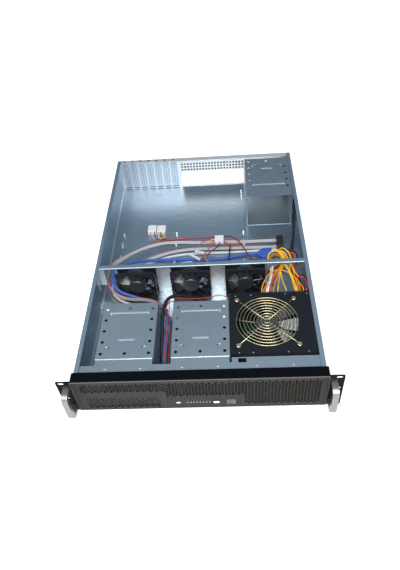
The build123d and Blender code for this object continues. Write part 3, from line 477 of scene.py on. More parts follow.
cageSet = {
    # middle, where the measures along the cage start, and their sense
    "places": {
        "drive_cage_left": (-129.7, 45.0, 1), "drive_cage_middle": (2.9, 45.0, 1),
        "drive_cage_rear": (153.4, 630.0, -1),
    },
    # along the cage, reach to each side
    "ribs": [(104.0, 36.0), (41.0, 14.5)],
    "ribHalf": 2.4,
    "ribTop": 86.3,
    # from the cage's middle, row
    "holes": {
        "drive_cage_left": [(-42.6, 0), (-42.6, 1), (-42.6, 2), (-42.6, 3), (0, 0), (42.6, 0),
                            (42.6, 1), (42.6, 2), (42.6, 3)],
        "drive_cage_middle": [(-42.6, 0), (-42.6, 1), (-42.6, 2), (0, 0), (42.6, 0), (42.6, 1),
                              (42.6, 2), (42.6, 3)],
        "drive_cage_rear": [(42.6, 1), (42.6, 2), (42.6, 3), (42.6, 4)],
    },
    "firstHole": 11.0,
    "holePitch": 25.4,
    "holeRadius": 2.95,
    "holeZ": 85.3,
    "holeDepth": 0.2,
    "holeSides": 24,
}


def onRib(face, middle, start, sense):
    if face.normal.z < facing or face.center.z * 1000 < cageSet["ribTop"]:
        return False
    x = face.center.x * 1000 - middle
    y = ((face.center.y - rackPlaneY) * 1000 - start) * sense
    return any(abs(y - along) < cageSet["ribHalf"] and abs(x) < reach
               for along, reach in cageSet["ribs"])


def makeCageDetail():
    bm = bmesh.new()
    radius = cageSet["holeRadius"]
    for node, (middle, start, sense) in cageSet["places"].items():
        paintLitFaces(node, "highlightSteel", lambda face: onRib(face, middle, start, sense))
        for x, row in cageSet["holes"][node]:
            y = start + sense * (cageSet["firstHole"] + row * cageSet["holePitch"])
            addDisc(bm, (middle + x, y, cageSet["holeZ"]), radius, radius, cageSet["holeDepth"],
                    cageSet["holeSides"])
    # Painted shade: dark discs in the round holes of the cage tops
    dress(pieceFrom(bm, "cageHoleShades"), ["boxPaint"])


makeCageDetail()
print("cages detailed")


# Perforated front: outlines as (left, bottom, right, top)

frontSet = {
    "planes": (-4.0, -2.0),
    "outline": (-217.5, 0.0, 217.5, 88.0),
    "corner": 3.0,
    "cornerSteps": 5,
    "rim": 1.1,
    "meshes": [
        (-208.0, 53.0, -58.0, 81.0), (-60.0, 37.0, 76.0, 81.0), (73.0, 9.0, 210.0, 81.0),
    ],
    "bayOutline": (-209.8, 5.2, -60.8, 43.3),
    "bayMesh": (-204.0, 7.0, -64.5, 42.0),
    "bayHole": (-210.0, 5.0, -60.6, 43.5),
    "stripHole": (-60.0, 5.0, 70.0, 34.0),
    "pitch": 6.45,
    "web": 1.5,
    # finish, body, slot, outline, front and rear planes
    "plates": {
        "bayShade": ("bayShade", caseBody, "bay_grey", (-204.0, 14.5, -64.0, 41.5), (-1.6, -0.8)),
        "stepLine": ("stripBrown", caseBody, "bezel_paint", (-62.6, 5.4, -60.9, 53.5), (-4.3, -3.6)),
        "powerMark": ("whiteNylon", "power_button", None, (23.0, 17.0, 33.0, 23.0), (-5.3, -4.8)),
    },
}


def arc(x, z, radius, first, last, steps):
    # Points round a middle, from one angle to another
    turns = [first + (last - first) * step / steps for step in range(steps + 1)]
    return [(x + radius * math.cos(turn), z + radius * math.sin(turn)) for turn in turns]


def rectangleLoop(region, corner=0.0):
    left, low, right, high = region
    if not corner:
        return [(left, low), (right, low), (right, high), (left, high)]
    loop = []
    for index, (x, z) in enumerate((
        (right - corner, low + corner), (right - corner, high - corner),
        (left + corner, high - corner), (left + corner, low + corner),
    )):
        loop += arc(x, z, corner, quarterTurn * (index - 1), quarterTurn * index,
                    frontSet["cornerSteps"])
    return loop


def honeycomb(regions):
    # One lattice over all the regions, with the whole cells that lie inside them
    pitch = frontSet["pitch"]
    left, low, right, high = [
        pick(region[index] for region in regions)
        for index, pick in enumerate((min, min, max, max))
    ]
    column = pitch * math.sqrt(3) / 2
    columns = int((right - left) / column) + 1
    first = (left + right - (columns - 1) * column) / 2
    radius = (pitch - frontSet["web"]) / math.sqrt(3)
    loops = []
    for index in range(columns):
        x = first + index * column
        for row in range(int((high - low) / pitch) + 1):
            z = high - pitch * (row + (1.0 if index % 2 else 0.5))
            loop = arc(x, z, radius, 0, math.pi * 5 / 3, 5)
            if all(any(region[0] <= a <= region[2] and region[1] <= b <= region[3]
                       for region in regions) for a, b in loop):
                loops.append(loop)
    return loops


def perforatedSheet(name, outline, holes, planes, rim=0.0):
    # A flat sheet between two upright planes, with every hole cut through
    bm = bmesh.new()
    loops = []
    for loop in [outline] + holes:
        verts = [bm.verts.new(place(x, planes[0], z)) for x, z in loop]
        loops.append([bm.edges.new((a, b)) for a, b in zip(verts, verts[1:] + verts[:1])])
    outer = set(loops[0])
    bmesh.ops.triangle_fill(bm, use_beauty=True, edges=[edge for loop in loops for edge in loop])
    extrude(bm, (0, (planes[1] - planes[0]) / 1000, 0))
    if rim:
        rounded(bm, [edge for edge in outer if edge.is_valid], rim, 2, material=1)
    return pieceFrom(bm, name)


def extrude(bm, way):
    # The flat faces made so far become a body
    made = bmesh.ops.extrude_face_region(bm, geom=bm.faces[:], use_keep_orig=True)
    moved = [item for item in made["geom"] if isinstance(item, bmesh.types.BMVert)]
    bmesh.ops.translate(bm, verts=moved, vec=way)
    bmesh.ops.recalc_face_normals(bm, faces=bm.faces[:])


def makeFront():
    planes = frontSet["planes"]
    openings = [rectangleLoop(frontSet["bayHole"]), rectangleLoop(frontSet["stripHole"])]
    outline = rectangleLoop(frontSet["outline"], frontSet["corner"])
    holes = honeycomb(frontSet["meshes"]) + openings
    sheet = perforatedSheet("bezelFine", outline, holes, planes, frontSet["rim"])
    # The bezel's rounded rim takes the painted highlight
    dress(sheet, ["bezelPaint", "rimPaint"], replaced=["bezel"])
    outline = rectangleLoop(frontSet["bayOutline"])
    bay = perforatedSheet("bayFine", outline, honeycomb([frontSet["bayMesh"]]), planes)
    dress(bay, ["bezelPaint"], replaced=["bay_cover"])
    for name, (finish, body, slot, region, depths) in frontSet["plates"].items():
        left, low, right, high = region
        bm = bmesh.new()
        addBox(bm, (left, depths[0], low), (right, depths[1], high))
        dress(pieceFrom(bm, name), [finish], body=body)


makeFront()
print("perforated front made")


# Finger guards behind the three fans

guardSet = {
    "centres": [(-132.65, 43.0), (-22.0, 43.0), (88.65, 43.0)],
    "radius": 39.0,
    "bands": [(21.0, 28.5), (30.5, 37.5)],
    "sectors": 8,
    "strut": 4.6,
    "rimSteps": 48,
    "sectorSteps": 5,
    "planes": (277.1, 277.8),
}


def sectorLoop(x, z, low, high, first, last):
    # One opening between two struts, which stay equally wide from the hub to the rim
    loop = []
    for radius, step in ((high, 1), (low, -1)):
        slack = guardSet["strut"] / 2 / radius
        side = arc(x, z, radius, first + slack, last - slack, guardSet["sectorSteps"])
        loop += side[::step]
    return loop


def makeGuards():
    rims = []
    openings = []
    part = 2 * math.pi / guardSet["sectors"]
    for x, z in guardSet["centres"]:
        rims.append(arc(x, z, guardSet["radius"], 0, 2 * math.pi, guardSet["rimSteps"])[:-1])
        for low, high in guardSet["bands"]:
            openings += [sectorLoop(x, z, low, high, index * part, (index + 1) * part)
                         for index in range(guardSet["sectors"])]
    guards = perforatedSheet("fanGuards", rims[0], rims[1:] + openings, guardSet["planes"])
    dress(guards, ["fanPlastic"])


makeGuards()
print("finger guards made")


# Rear panel: painted shade in its small openings, round the slot covers' pressed lozenges and under the
# covers' feet

rearSet = {
    "slots": [-197.0 + 20.32 * index for index in range(7)],
    "slotMiddle": 44.0,
    "endSteps": 10,
    "coverHoles": [19.5 + 7.0 * index for index in range(8)],
    "coverHole": 2.9,
    "coverPlane": (648.4, 648.7),
    "ringSize": (63.8, 11.8),
    "ringHole": (62.1, 10.1),
    "ringPlanes": (647.7, 648.05),
    # painted shade under each cover's foot: its box, and its planes below
    "underCoverShade": (-7.0, 3.6, 7.0, 5.6),
    "footPlane": (647.8, 648.1),
    "vents": [-54.5 + 7.6 * index for index in range(21)],
    "ventRows": [67.9, 59.7, 51.5],
    "vent": 4.7,
    "ventPlane": (649.3, 649.6),
}


def slotLoop(x, z, size):
    high, wide = size
    rise = (high - wide) / 2
    steps = rearSet["endSteps"]
    return (arc(x, z + rise, wide / 2, 0, math.pi, steps)
            + arc(x, z - rise, wide / 2, math.pi, 2 * math.pi, steps))


def makeRear():
    # Painted shade: a grey ring round the pressed lozenge of each slot cover
    rings = [slotLoop(x, rearSet["slotMiddle"], rearSet[size])
             for x in rearSet["slots"] for size in ("ringSize", "ringHole")]
    lozenges = perforatedSheet("coverEmbossShade", rings[0], rings[1:], rearSet["ringPlanes"])
    dress(lozenges, ["embossGrey"])
    bm = bmesh.new()
    for places, rows, wide, (front, rear) in (
        (rearSet["slots"], rearSet["coverHoles"], rearSet["coverHole"], rearSet["coverPlane"]),
        (rearSet["vents"], rearSet["ventRows"], rearSet["vent"], rearSet["ventPlane"]),
    ):
        half = wide / 2
        for x in places:
            for z in rows:
                addBox(bm, (x - half, front, z - half), (x + half, rear, z + half))
    dress(pieceFrom(bm, "holeShades"), ["holeBrown"])
    # Painted shade: dark dashes under the feet of the slot covers
    bm = bmesh.new()
    left, low, right, high = rearSet["underCoverShade"]
    front, rear = rearSet["footPlane"]
    for x in rearSet["slots"]:
        addBox(bm, (x + left, front, low), (x + right, rear, high))
    dress(pieceFrom(bm, "underCoverShades"), ["boxPaint"])


makeRear()
print("rear panel detailed")


# The wire grille over the power supply's fan, and the small screws of the lid round it

grilleSet = {
    "centre": (122.3, 118.0),
    "lidZ": 86.2,
    "wire": 0.8,
    "wireSides": 10,
    "rings": 9,
    "firstRing": 4.7,
    "lastRing": 55.2,
    # segments of the smallest ring, and how many more each next one has
    "ringSteps": (40, 8),
    "screwReach": 74.25,
    "eye": 4.2,
    "eyeThick": 0.9,
    "eyeSides": 28,
    # the spokes are a little thinner than the rings, and end inside the eyes
    "spokeShare": 0.9,
    "screws": [
        (67.3, 181, 86.5), (96.3, 182.5, 86.5), (160.3, 182.5, 86.5), (200.3, 182, 86.5),
        (70.3, 50.5, 86.5), (94.3, 50, 86.5), (154.3, 50, 86.5), (188.3, 50, 86.5),
    ],
    # radii at foot and head, height, segments
    "screwShape": (1.3, 0.91, 0.6, 16),
}


def makeGrille():
    wire, first, last, reach, eye, eyeThick = [
        grilleSet[name] / 1000
        for name in ("wire", "firstRing", "lastRing", "screwReach", "eye", "eyeThick")
    ]
    x, y = grilleSet["centre"]
    middle = place(x, y, grilleSet["lidZ"] + grilleSet["wire"])
    share = grilleSet["spokeShare"]
    sides = grilleSet["wireSides"]
    fewest, more = grilleSet["ringSteps"]
    bm = bmesh.new()
    for index in range(grilleSet["rings"]):
        radius = first + index * (last - first) / (grilleSet["rings"] - 1)
        start = Matrix.Translation(middle + Vector((radius, 0, 0))) @ Matrix.Rotation(quarterTurn, 4, "X")
        circle = bmesh.ops.create_circle(bm, segments=sides, radius=wire, matrix=start)["verts"]
        edges = list({edge for vert in circle for edge in vert.link_edges})
        bmesh.ops.spin(bm, geom=circle + edges, cent=middle, axis=(0, 0, 1), dvec=(0, 0, 0),
                       angle=2 * math.pi, steps=fewest + more * index, use_merge=True)
    long = reach - eye * share - first
    for corner in range(4):
        spin = Matrix.Rotation(quarterTurn * (corner + 0.5), 4, "Z")
        outward = Matrix.Translation(middle) @ spin
        lie = Matrix.Translation((first + long / 2, 0, -wire * (1 - share)))
        addBar(bm, outward @ lie @ Matrix.Rotation(quarterTurn, 4, "Y"), wire * share, long, sides)
        lie = Matrix.Translation((reach, 0, eyeThick / 2 - wire))
        addBar(bm, outward @ lie, eye, eyeThick, grilleSet["eyeSides"])
    bmesh.ops.recalc_face_normals(bm, faces=bm.faces[:])
    grille = pieceFrom(bm, "grilleWires", smooth=True)
    dress(grille, ["brassWire"], replaced=["psu_grille"])
    bm = bmesh.new()
    for spot in grilleSet["screws"]:
        addDisc(bm, spot, *grilleSet["screwShape"])
    dress(pieceFrom(bm, "lidScrews"), ["screwZinc"])


makeGrille()
print("grille made")


# Cords, each with its route

cordSet = {
    "acLead": {
        "node": "ac_lead", "width": 6, "finish": "blackSheath", "slot": "black_rubber",
        "farEnd": "plug", "plugs": ["ac_plug"],
        "route": [
            (195, 628, 16), (195, 613, 16), (200, 597, 20), (209, 578, 30), (209.4, 542, 47),
            (209.4, 500, 55), (208.5, 463, 40), (205, 430, 20), (197, 392, 7), (191, 352, 5.6),
            (195, 316, 8), (203, 284, 11), (209, 248, 15), (209.4, 208, 20), (209.5, 164, 21),
            (209.4, 120, 20), (209.5, 84, 22), (209.4, 60, 24), (208.8, 43, 26.5), (203, 32.5, 28),
            (193, 29, 28), (181, 29, 28)]},
    "frontLead": {
        "node": "front_lead", "width": 6.5, "finish": "blackSheath", "slot": "black_rubber",
        "farEnd": "object", "plugs": [],
        "route": [
            (-50, 7.6, 24), (-50, 20, 24), (-62, 40, 26), (-71.5, 72, 36), (-71, 115, 52),
            (-72, 155, 62), (-70, 190, 66), (-56, 213, 60), (-28, 222, 44), (4, 221, 27), (34, 219, 14),
            (53, 225, 9), (60, 238, 8), (60, 252, 8)]},
    "blueLead": {
        "node": "blue_lead", "width": 6.5, "finish": "blueSheath", "slot": "blue_sheath",
        "farEnd": "connector", "plugs": ["blue_plug"],
        "route": [
            (-42, 7.6, 13), (-42, 20, 13), (-53, 40, 10), (-58, 73, 8), (-57.5, 115, 7), (-58, 155, 8),
            (-64, 190, 12), (-82, 217, 18), (-112, 231, 26), (-143, 236, 36), (-169, 240, 46),
            (-184, 259, 55), (-183.5, 288, 55), (-173, 311, 47), (-157, 335, 34), (-131, 355, 20),
            (-103, 366, 10), (-73.5, 371.5, 5.5), (-40, 370, 4.8), (-8, 367.2, 4.7), (35, 366.5, 4.7),
            (68, 373.5, 4.6), (100, 379, 6), (122, 379, 6)]},
    "greyLead": {
        "node": "grey_lead", "width": 6, "finish": "whiteSheath", "slot": "ribbon_grey",
        "farEnd": "connector", "plugs": ["signal_plug"],
        "route": [
            (-53, 7.6, 12), (-53, 20, 12), (-62, 40, 11), (-70, 73, 10), (-70.5, 115, 9), (-69, 152, 10),
            (-77, 184, 14), (-99, 204, 20), (-127, 215, 26), (-155, 221, 32), (-177, 233, 37),
            (-187, 259, 37), (-186, 288, 34), (-177, 313, 21), (-160, 335, 9), (-134, 356, 4.7),
            (-98, 374, 4.5), (-60, 385, 4.4), (-18, 389, 4.4), (27, 388, 4.5), (72, 387.5, 4.4),
            (115, 389, 4.6), (145, 387.5, 7), (165, 387.5, 7)]},
    "ribbonUpper": {
        "node": "ribbon_upper", "width": 10, "slot": "ribbon_grey",
        "farEnd": "connector", "plugs": ["signal_plug"],
        "route": [
            (-34, 7.6, 26), (-34, 18, 26), (-50, 32, 30), (-58, 54, 37), (-58, 86, 42), (-57.5, 126, 44),
            (-60, 166, 46), (-76, 200, 48), (-110, 216, 48), (-146, 214, 50), (-177, 227, 56),
            (-192.5, 255, 64), (-193, 292, 62), (-186, 332, 42), (-170, 372, 22), (-140, 402, 14.3),
            (-98, 418, 14), (-55, 419, 14), (-10, 414, 14.2), (40, 415, 14), (90, 411, 14.2),
            (135, 412, 14), (165, 412, 14)]},
    "ribbonLower": {
        "node": "ribbon_lower", "width": 10, "slot": "ribbon_grey",
        "farEnd": "connector", "plugs": ["signal_plug"],
        "route": [
            (-22, 7.6, 12), (-22, 18, 12), (-35, 34, 16), (-54, 53, 23), (-59, 86, 29), (-57.5, 125, 31),
            (-60, 164, 33), (-76, 192, 35), (-108, 204, 36), (-145, 202, 38), (-177, 216, 43),
            (-192, 246, 48), (-191, 282, 47), (-182, 313, 32), (-165, 341, 16), (-135, 364, 8.5),
            (-98, 386, 7), (-60, 398, 6.6), (-20, 402, 6.5), (25, 400.5, 6.6), (70, 400, 6.5),
            (115, 399, 6.6), (145, 397, 8), (165, 397, 8)]},
    "loomLeft": {
        "node": "loom_left", "width": 11, "slot": "yellow_wire",
        "farEnd": "connector", "plugs": ["main_power_plug"],
        "route": [
            (118, 188, 46), (118, 202, 46), (123, 219, 57), (138, 239, 70), (157, 255, 74.5),
            (166, 277, 72), (165, 303, 66), (158, 325, 53), (150, 337, 36), (145, 340, 20),
            (135, 336, 9), (120, 336, 9)]},
    "loomRight": {
        "node": "loom_right", "width": 11, "slot": "yellow_wire",
        "farEnd": "connector", "plugs": ["main_power_plug"],
        "route": [
            (194, 188, 50), (194, 202, 50), (191, 222, 61), (187, 247, 69), (184, 272, 71),
            (183, 298, 68), (184, 322, 60), (186, 340, 44), (181, 345, 26), (168, 336, 13),
            (152, 323, 9), (136, 313, 9), (120, 313, 9)]},
    "drivePowerLead": {
        "node": "drive_power_lead", "width": 5, "slot": "red_wire",
        "farEnd": "connector", "plugs": ["drive_power_plug"],
        "route": [
            (158, 188, 40), (158, 202, 40), (153, 228, 35), (144, 262, 26), (139, 291, 22),
            (125, 318, 23), (107, 342, 23), (94, 370, 24), (82, 400, 25), (67, 425, 20), (42, 436, 12),
            (6, 434, 11), (-28, 435, 11), (-60, 431, 11.2), (-84, 431.5, 9.5), (-98, 437, 8.4),
            (-101, 449, 8.4), (-101, 459, 8.4)]},
    "fanPowerLead": {
        "node": "fan_power_lead", "width": 4, "slot": "red_wire",
        "farEnd": "connector", "plugs": ["fan_power_plug"],
        "route": [
            (20, 278, 60), (20, 289, 60), (16, 308, 54), (9, 328, 41), (6, 348, 29), (12, 366, 24.5),
            (24, 379, 25), (36, 387, 26), (36, 398, 26)]},
}

ribbonSet = {
    # Turn in degrees at the first points of each ribbon, which stands on its edge round the bend
    "tilts": [0, 0, 45, 90, 90, 90, 90, 90, 90, 90, 90, 90, 90, 50],
    "conductors": 8,
    "thick": 1.1,
    "valley": 0.55,
    # shares of a conductor's breadth between which its crown is flat
    "crown": (0.3, 0.7),
    "mergeReach": 1e-6,
}

loomSet = {
    "wire": 1.9,
    # radians of twist over the whole loom
    "twist": 3.0,
    "jitter": 0.4,
    # each third wire runs inside
    "inner": 0.45,
    # how far out a wire runs, how much that changes, and how often
    "out": 0.8,
    "sway": 0.2,
    "sways": 6,
    "loomLeft": ["yellow", "orange", "yellow", "red", "black", "yellow", "orange", "black", "yellow"],
    "loomRight": ["yellow", "red", "yellow", "orange", "black", "yellow", "red", "orange", "black"],
    "drivePowerLead": ["red", "black", "yellow", "red"],
    "fanPowerLead": ["red", "yellow", "black"],
}

# Single wires that leave a loom, grouped by the cord that they belong to: colour, width, route
straySet = {
    "loomRight": [
        ("orange", 2.3, [(116.5, 189, 62), (117.3, 196, 80), (119.4, 206, 85.8),
            (124.8, 219, 86.2), (132.5, 233, 86), (140.4, 243, 84.6), (148.7, 249, 82.3),
            (156.7, 251, 80.7), (166.4, 249, 79.4), (175.4, 242, 79.3), (183, 231, 79.9),
            (189.4, 219, 80), (194.1, 206, 81.9), (197.1, 196, 81.3), (198, 189, 62)]),
        ("yellow", 2.1, [(157, 247, 80.8), (155, 236, 77.6), (151.3, 216, 80.5), (147.5, 196, 84),
            (147, 189, 64)]),
        ("yellow", 2.1, [(157.6, 247, 80.2), (158.4, 232, 77.4), (160.4, 213, 80.4),
            (164.4, 196, 83), (165, 189, 64)]),
        ("orange", 2.1, [(155.4, 246, 80.5), (148.4, 230, 80), (143.5, 212, 82.4),
            (139.5, 196, 84.4), (139, 189, 64)]),
        ("red", 2.6, [(152.8, 245, 80), (142.4, 230, 80.3), (136.8, 212, 82.7), (133.9, 196, 84.7),
            (133, 189, 64)]),
        ("yellow", 2.6, [(167.4, 264, 81), (169.8, 257, 82.6), (173.4, 243, 83.4),
            (177.1, 230, 79.8), (180.1, 212, 80.4), (182.1, 196, 82.1), (182.5, 189, 64)]),
        ("yellow", 2.6, [(169.6, 266, 80), (172.2, 257, 81.6), (175.8, 243, 82.4),
            (179.5, 230, 78.8), (182.8, 212, 79.6), (184.8, 196, 81.5), (185, 189, 62)]),
        ("orange", 2.2, [(177.6, 266, 80), (177.2, 257, 81.6), (175.6, 250, 82.2),
            (176, 238, 80.6), (178.6, 215, 79.6), (179.5, 196, 81.5)]),
        ("yellow", 1.9, [(178.8, 266, 80.2), (180, 259, 82.4), (182.9, 250, 81.4),
            (187.5, 240, 78.7), (191.2, 235, 78.1)]),
        ("red", 2.8, [(186, 243, 71), (189.3, 236, 75.6), (196.3, 236, 76.2), (202.3, 230, 77.1),
            (205.4, 217, 79.3), (204.6, 206, 79.9), (202.4, 196, 81), (201.5, 189, 62)]),
        ("black", 3.2, [(180, 247, 66), (190, 243, 73), (200, 240, 74.5), (207, 231, 74),
            (209, 217, 73), (207.5, 206, 73), (205, 196, 72), (203, 189, 60)]),
        ("white", 3.4, [(143.4, 262, 80), (141.7, 249, 81.2), (138.1, 232, 80.3),
            (133.5, 214, 82.6), (129, 196, 83.9), (128.5, 189, 64)]),
        ("white", 2.6, [(140.4, 262, 77), (138.7, 249, 78.2), (135.1, 232, 77.3),
            (130.5, 214, 79.6), (126, 196, 80.9), (125.5, 189, 62)]),
        ("yellow", 2.8, [(135.3, 281, 76.5), (136.3, 290, 83), (140.4, 297, 85.2),
            (147.9, 301, 85.5), (155.7, 301, 85.5), (161.1, 294, 84), (164.2, 284, 79.5), (167, 272, 79)]),
        ("yellow", 2.8, [(139.3, 296, 83.5), (144.9, 302, 83.5), (154.7, 304, 84),
            (163.1, 298, 84), (167.2, 287, 81), (171, 272, 79)]),
        ("orange", 2.4, [(147.5, 306, 80), (154.7, 308, 83), (163.1, 303, 84), (169, 292, 81.5),
            (173.5, 274, 79)]),
        ("yellow", 2.4, [(160, 312, 78), (163.6, 310, 85), (170.2, 306, 86), (175.3, 300, 85.5),
            (179.6, 291, 83.6), (181.8, 283, 80.4), (180, 270, 79)]),
        ("yellow", 2.2, [(159, 306, 78), (162.5, 304, 84), (167.2, 298, 85.2), (171.3, 291, 84.5),
            (174.6, 283, 81.2), (175, 270, 79)]),
        ("black", 3.4, [(172, 310, 80), (182.9, 304, 84.5), (191.6, 298, 83.5), (194.7, 290, 81.2),
            (192.8, 280, 78.6), (190, 268, 77)]),
        ("red", 2.2, [(176, 302, 80), (182.5, 297, 84), (188.5, 293, 83), (190.5, 287, 80.8),
            (188.3, 280, 78.6), (186, 268, 77)]),
    ],
    "drivePowerLead": [
        ("red", 1.8, [(-125.9, 462, 9), (-125.9, 448, 13), (-121, 434.6, 15), (-115, 427.9, 14),
            (-102, 429.9, 12)]),
        ("black", 1.8, [(-118.1, 462, 10), (-115.5, 447, 15), (-112.9, 437.9, 16),
            (-108.9, 431.7, 15), (-99.9, 429.7, 12)]),
        ("yellow", 1.9, [(-108.1, 460, 10), (-106.2, 445, 16), (-103.2, 435.4, 17),
            (-99.4, 431.2, 15), (-92.9, 435.8, 16), (-89.5, 447, 15), (-93.5, 460, 10)]),
        ("black", 1.8, [(-104.2, 460, 9), (-99.2, 444, 13), (-94.4, 433.2, 13), (-86.5, 430, 12)]),
        ("red", 1.8, [(-93.2, 460, 8), (-85.8, 449.2, 12), (-79.9, 438.7, 14), (-74.5, 432.5, 12),
            (-64.6, 429, 13)]),
    ],
    "fanPowerLead": [
        ("black", 1.8, [(-8.3, 402, 20), (-1.8, 403.7, 26), (7.5, 405.2, 29), (20.5, 408.1, 28),
            (27.5, 408.1, 27)]),
        ("yellow", 1.9, [(5.8, 401.1, 20), (11.3, 400.7, 28), (20, 403, 32), (25.6, 404.9, 30.5),
            (30.5, 403, 27.5)]),
        ("red", 1.8, [(-13.5, 396.8, 18), (-5.7, 401.4, 24), (3.3, 401.6, 30), (15.4, 404.2, 30),
            (27.4, 405.7, 28)]),
        ("red", 2.2, [(44, 402.4, 26), (51, 398.2, 22), (62.1, 398.3, 19), (77.8, 400.2, 17.5)]),
        ("red", 1.8, [(28.5, 399, 26), (17.3, 391.7, 24), (10.6, 379.6, 22), (3, 369.8, 20),
            (-3.6, 360, 20), (-6.2, 348.7, 20)]),
        ("yellow", 1.6, [(0.5, 369.8, 18), (-5.6, 360, 18), (-8.2, 350.7, 18)]),
    ],
    "frontLead": [
        ("red", 2, [(-70, 175, 50), (-70, 210, 38), (-64, 235, 18), (-47.2, 240, 8),
            (-11.9, 239, 4), (20, 238, 2.2), (55, 239, 2.2), (85, 240, 2.2)]),
        ("red", 1.6, [(-70, 180, 56), (-66, 200, 56), (-58.1, 212.5, 54), (-32.1, 211, 50),
            (-6.3, 210.5, 50), (13.4, 212, 50), (29.2, 216.7, 50), (48.9, 215.2, 50), (58, 210, 46)]),
        ("black", 3, [(-70, 190, 66), (-56, 218, 56), (-20, 229, 40), (15, 228, 20), (45, 226, 8),
            (62, 230, 3)]),
        ("red", 1.6, [(-64, 60, 56), (-62, 100, 62), (-61, 140, 66), (-60, 170, 64),
            (-62, 200, 52), (-66, 230, 30)]),
        ("blue", 3, [(-68, 56, 40), (-67, 95, 50), (-66, 135, 54), (-65, 165, 50), (-68, 195, 38)]),
    ],
}

# Slabs that are part of a plug: finish, from, to, width and height
plugSlabs = {
    "fanPowerLead": [
        ("whiteNylon", (-29.5, 370, 19.5), (-5.8, 351.8, 19.5), 5, 4),
        ("whiteNylon", (-18.5, 379.8, 19.5), (3.4, 372.6, 19.5), 5, 4),
    ],
    "blueLead": [
        ("whiteNylon", (-49, 348.3, 15), (-24.6, 350.7, 15), 4.6, 1.6),
    ],
    "ribbonLower": [
        ("blackPlastic", (60.5, 408, 8), (56.7, 364, 8), 2.2, 10),
    ],
}
slabRound = 0.5

bootSet = {
    "outline": [(116.9, 376.4), (131.1, 390.5), (153.4, 391.5), (143.5, 355.4), (129.3, 362.2)],
    "low": 3.0,
    "high": 11.8,
    "round": 1.6,
}

# Small round pieces: finish, slot, radii at foot and head, height, segments, lean, middles
spotSet = {
    "holePlugs": ("whiteNylon", "white_plastic", 2.9, 2.4, 1.4, 24, 0, [
        (-172.3, 157.6, 85.4), (45.5, 157.6, 85.4), (45.5, 132.2, 85.4)]),
    "frontStuds": ("screwZinc", "zinc_screw", 2.7, 2.7, 7.0, 6, 0, [
        (-111.8, 367.4, 4.5), (-65.2, 364.7, 4.5), (91.1, 364.1, 4.5)]),
    "wallScrews": ("screwZinc", "zinc_screw", 2.2, 2.6, 1.0, 20, 90, [
        (-212.5, 145.5, 44), (-212.5, 58.8, 55.3), (-212.5, 95.6, 44.2)]),
}

# A painted highlight along the bend where the floor meets the left wall, from corner to corner
cornerHighlight = ((-213, 14, 1), (-210.6, 640, 1.9))

onCords = {name: [] for name in cordSet}


def routeCurve(name, points, thick, steps=8, roundness=3):
    # A smooth round cord along points in metres, or a bare line where it has no thickness
    data = bpy.data.curves.new(name, "CURVE")
    data.dimensions = "3D"
    data.resolution_u = steps
    data.bevel_depth = thick / 2000
    data.bevel_resolution = roundness
    data.use_fill_caps = thick > 0
    spline = data.splines.new("NURBS")
    spline.points.add(len(points) - 1)
    for point, where in zip(spline.points, points):
        point.co = (*where, 1)
    spline.order_u = 3
    spline.use_endpoint_u = True
    return linked(name, data)


def dropCurve(helper):
    data = helper.data
    bpy.data.objects.remove(helper)
    bpy.data.curves.remove(data)


def meshOf(helper):
    # The mesh of a helping curve, which isn't kept
    bpy.context.view_layer.update()
    seen = helper.evaluated_get(bpy.context.evaluated_depsgraph_get())
    mesh = bpy.data.meshes.new_from_object(seen)
    dropCurve(helper)
    return mesh


def addWire(bm, curve, material):
    mesh = meshOf(curve)
    before = len(bm.faces)
    bm.from_mesh(mesh)
    bm.faces.ensure_lookup_table()
    for face in bm.faces[before:]:
        face.material_index = material
        face.smooth = True
    bpy.data.meshes.remove(mesh)


def routeOf(name):
    return [place(*point) for point in cordSet[name]["route"]]


def linePoints(points):
    # The smooth line of a route, read from its own spline
    mesh = meshOf(routeCurve("helper", points, 0))
    line = [vertex.co.copy() for vertex in mesh.vertices]
    bpy.data.meshes.remove(mesh)
    return line


def lineFrames(line):
    # At each point: the point, the level direction across the line, and the one above it
    frames = []
    for index, point in enumerate(line):
        before = line[max(index - 1, 0)]
        after = line[min(index + 1, len(line) - 1)]
        run = (after - before).normalized()
        across = run.cross(Vector((0, 0, 1))).normalized()
        frames.append((point, across, across.cross(run)))
    return frames


def keepOn(cord, bm, name, materials, smooth=False):
    # A piece that belongs to a cord
    piece = pieceFrom(bm, name, smooth)
    dress(piece, materials)
    onCords[cord].append(piece)


def sheaths(colours):
    return [f"{colour}Sheath" for colour in colours]


def makeStrays(cord, wires):
    palette = sorted({colour for colour, thick, points in wires})
    bm = bmesh.new()
    for colour, thick, points in wires:
        curve = routeCurve("stray", [place(*point) for point in points], thick, 6)
        addWire(bm, curve, palette.index(colour))
    keepOn(cord, bm, f"{cord}Strays", sheaths(palette))


def makeSlabs(cord, slabs):
    bm = bmesh.new()
    for finish, start, end, wide, high in slabs:
        run = place(*end) - place(*start)
        turn = Matrix.Rotation(math.atan2(run.y, run.x), 4, "Z")
        centre = (place(*start) + place(*end)) / 2
        size = Matrix.Diagonal((run.length, wide / 1000, high / 1000, 1))
        bmesh.ops.create_cube(bm, size=1, matrix=Matrix.Translation(centre) @ turn @ size)
    rounded(bm, bm.edges[:], slabRound, 2)
    keepOn(cord, bm, f"{cord}Slabs", [slabs[0][0]])


def makeBoot():
    bm = bmesh.new()
    bm.faces.new([bm.verts.new(place(x, y, bootSet["low"])) for x, y in bootSet["outline"]])
    extrude(bm, (0, 0, (bootSet["high"] - bootSet["low"]) / 1000))
    rounded(bm, bm.edges[:], bootSet["round"], 3)
    keepOn("blueLead", bm, "blueBoot", ["bluePlastic"], smooth=True)


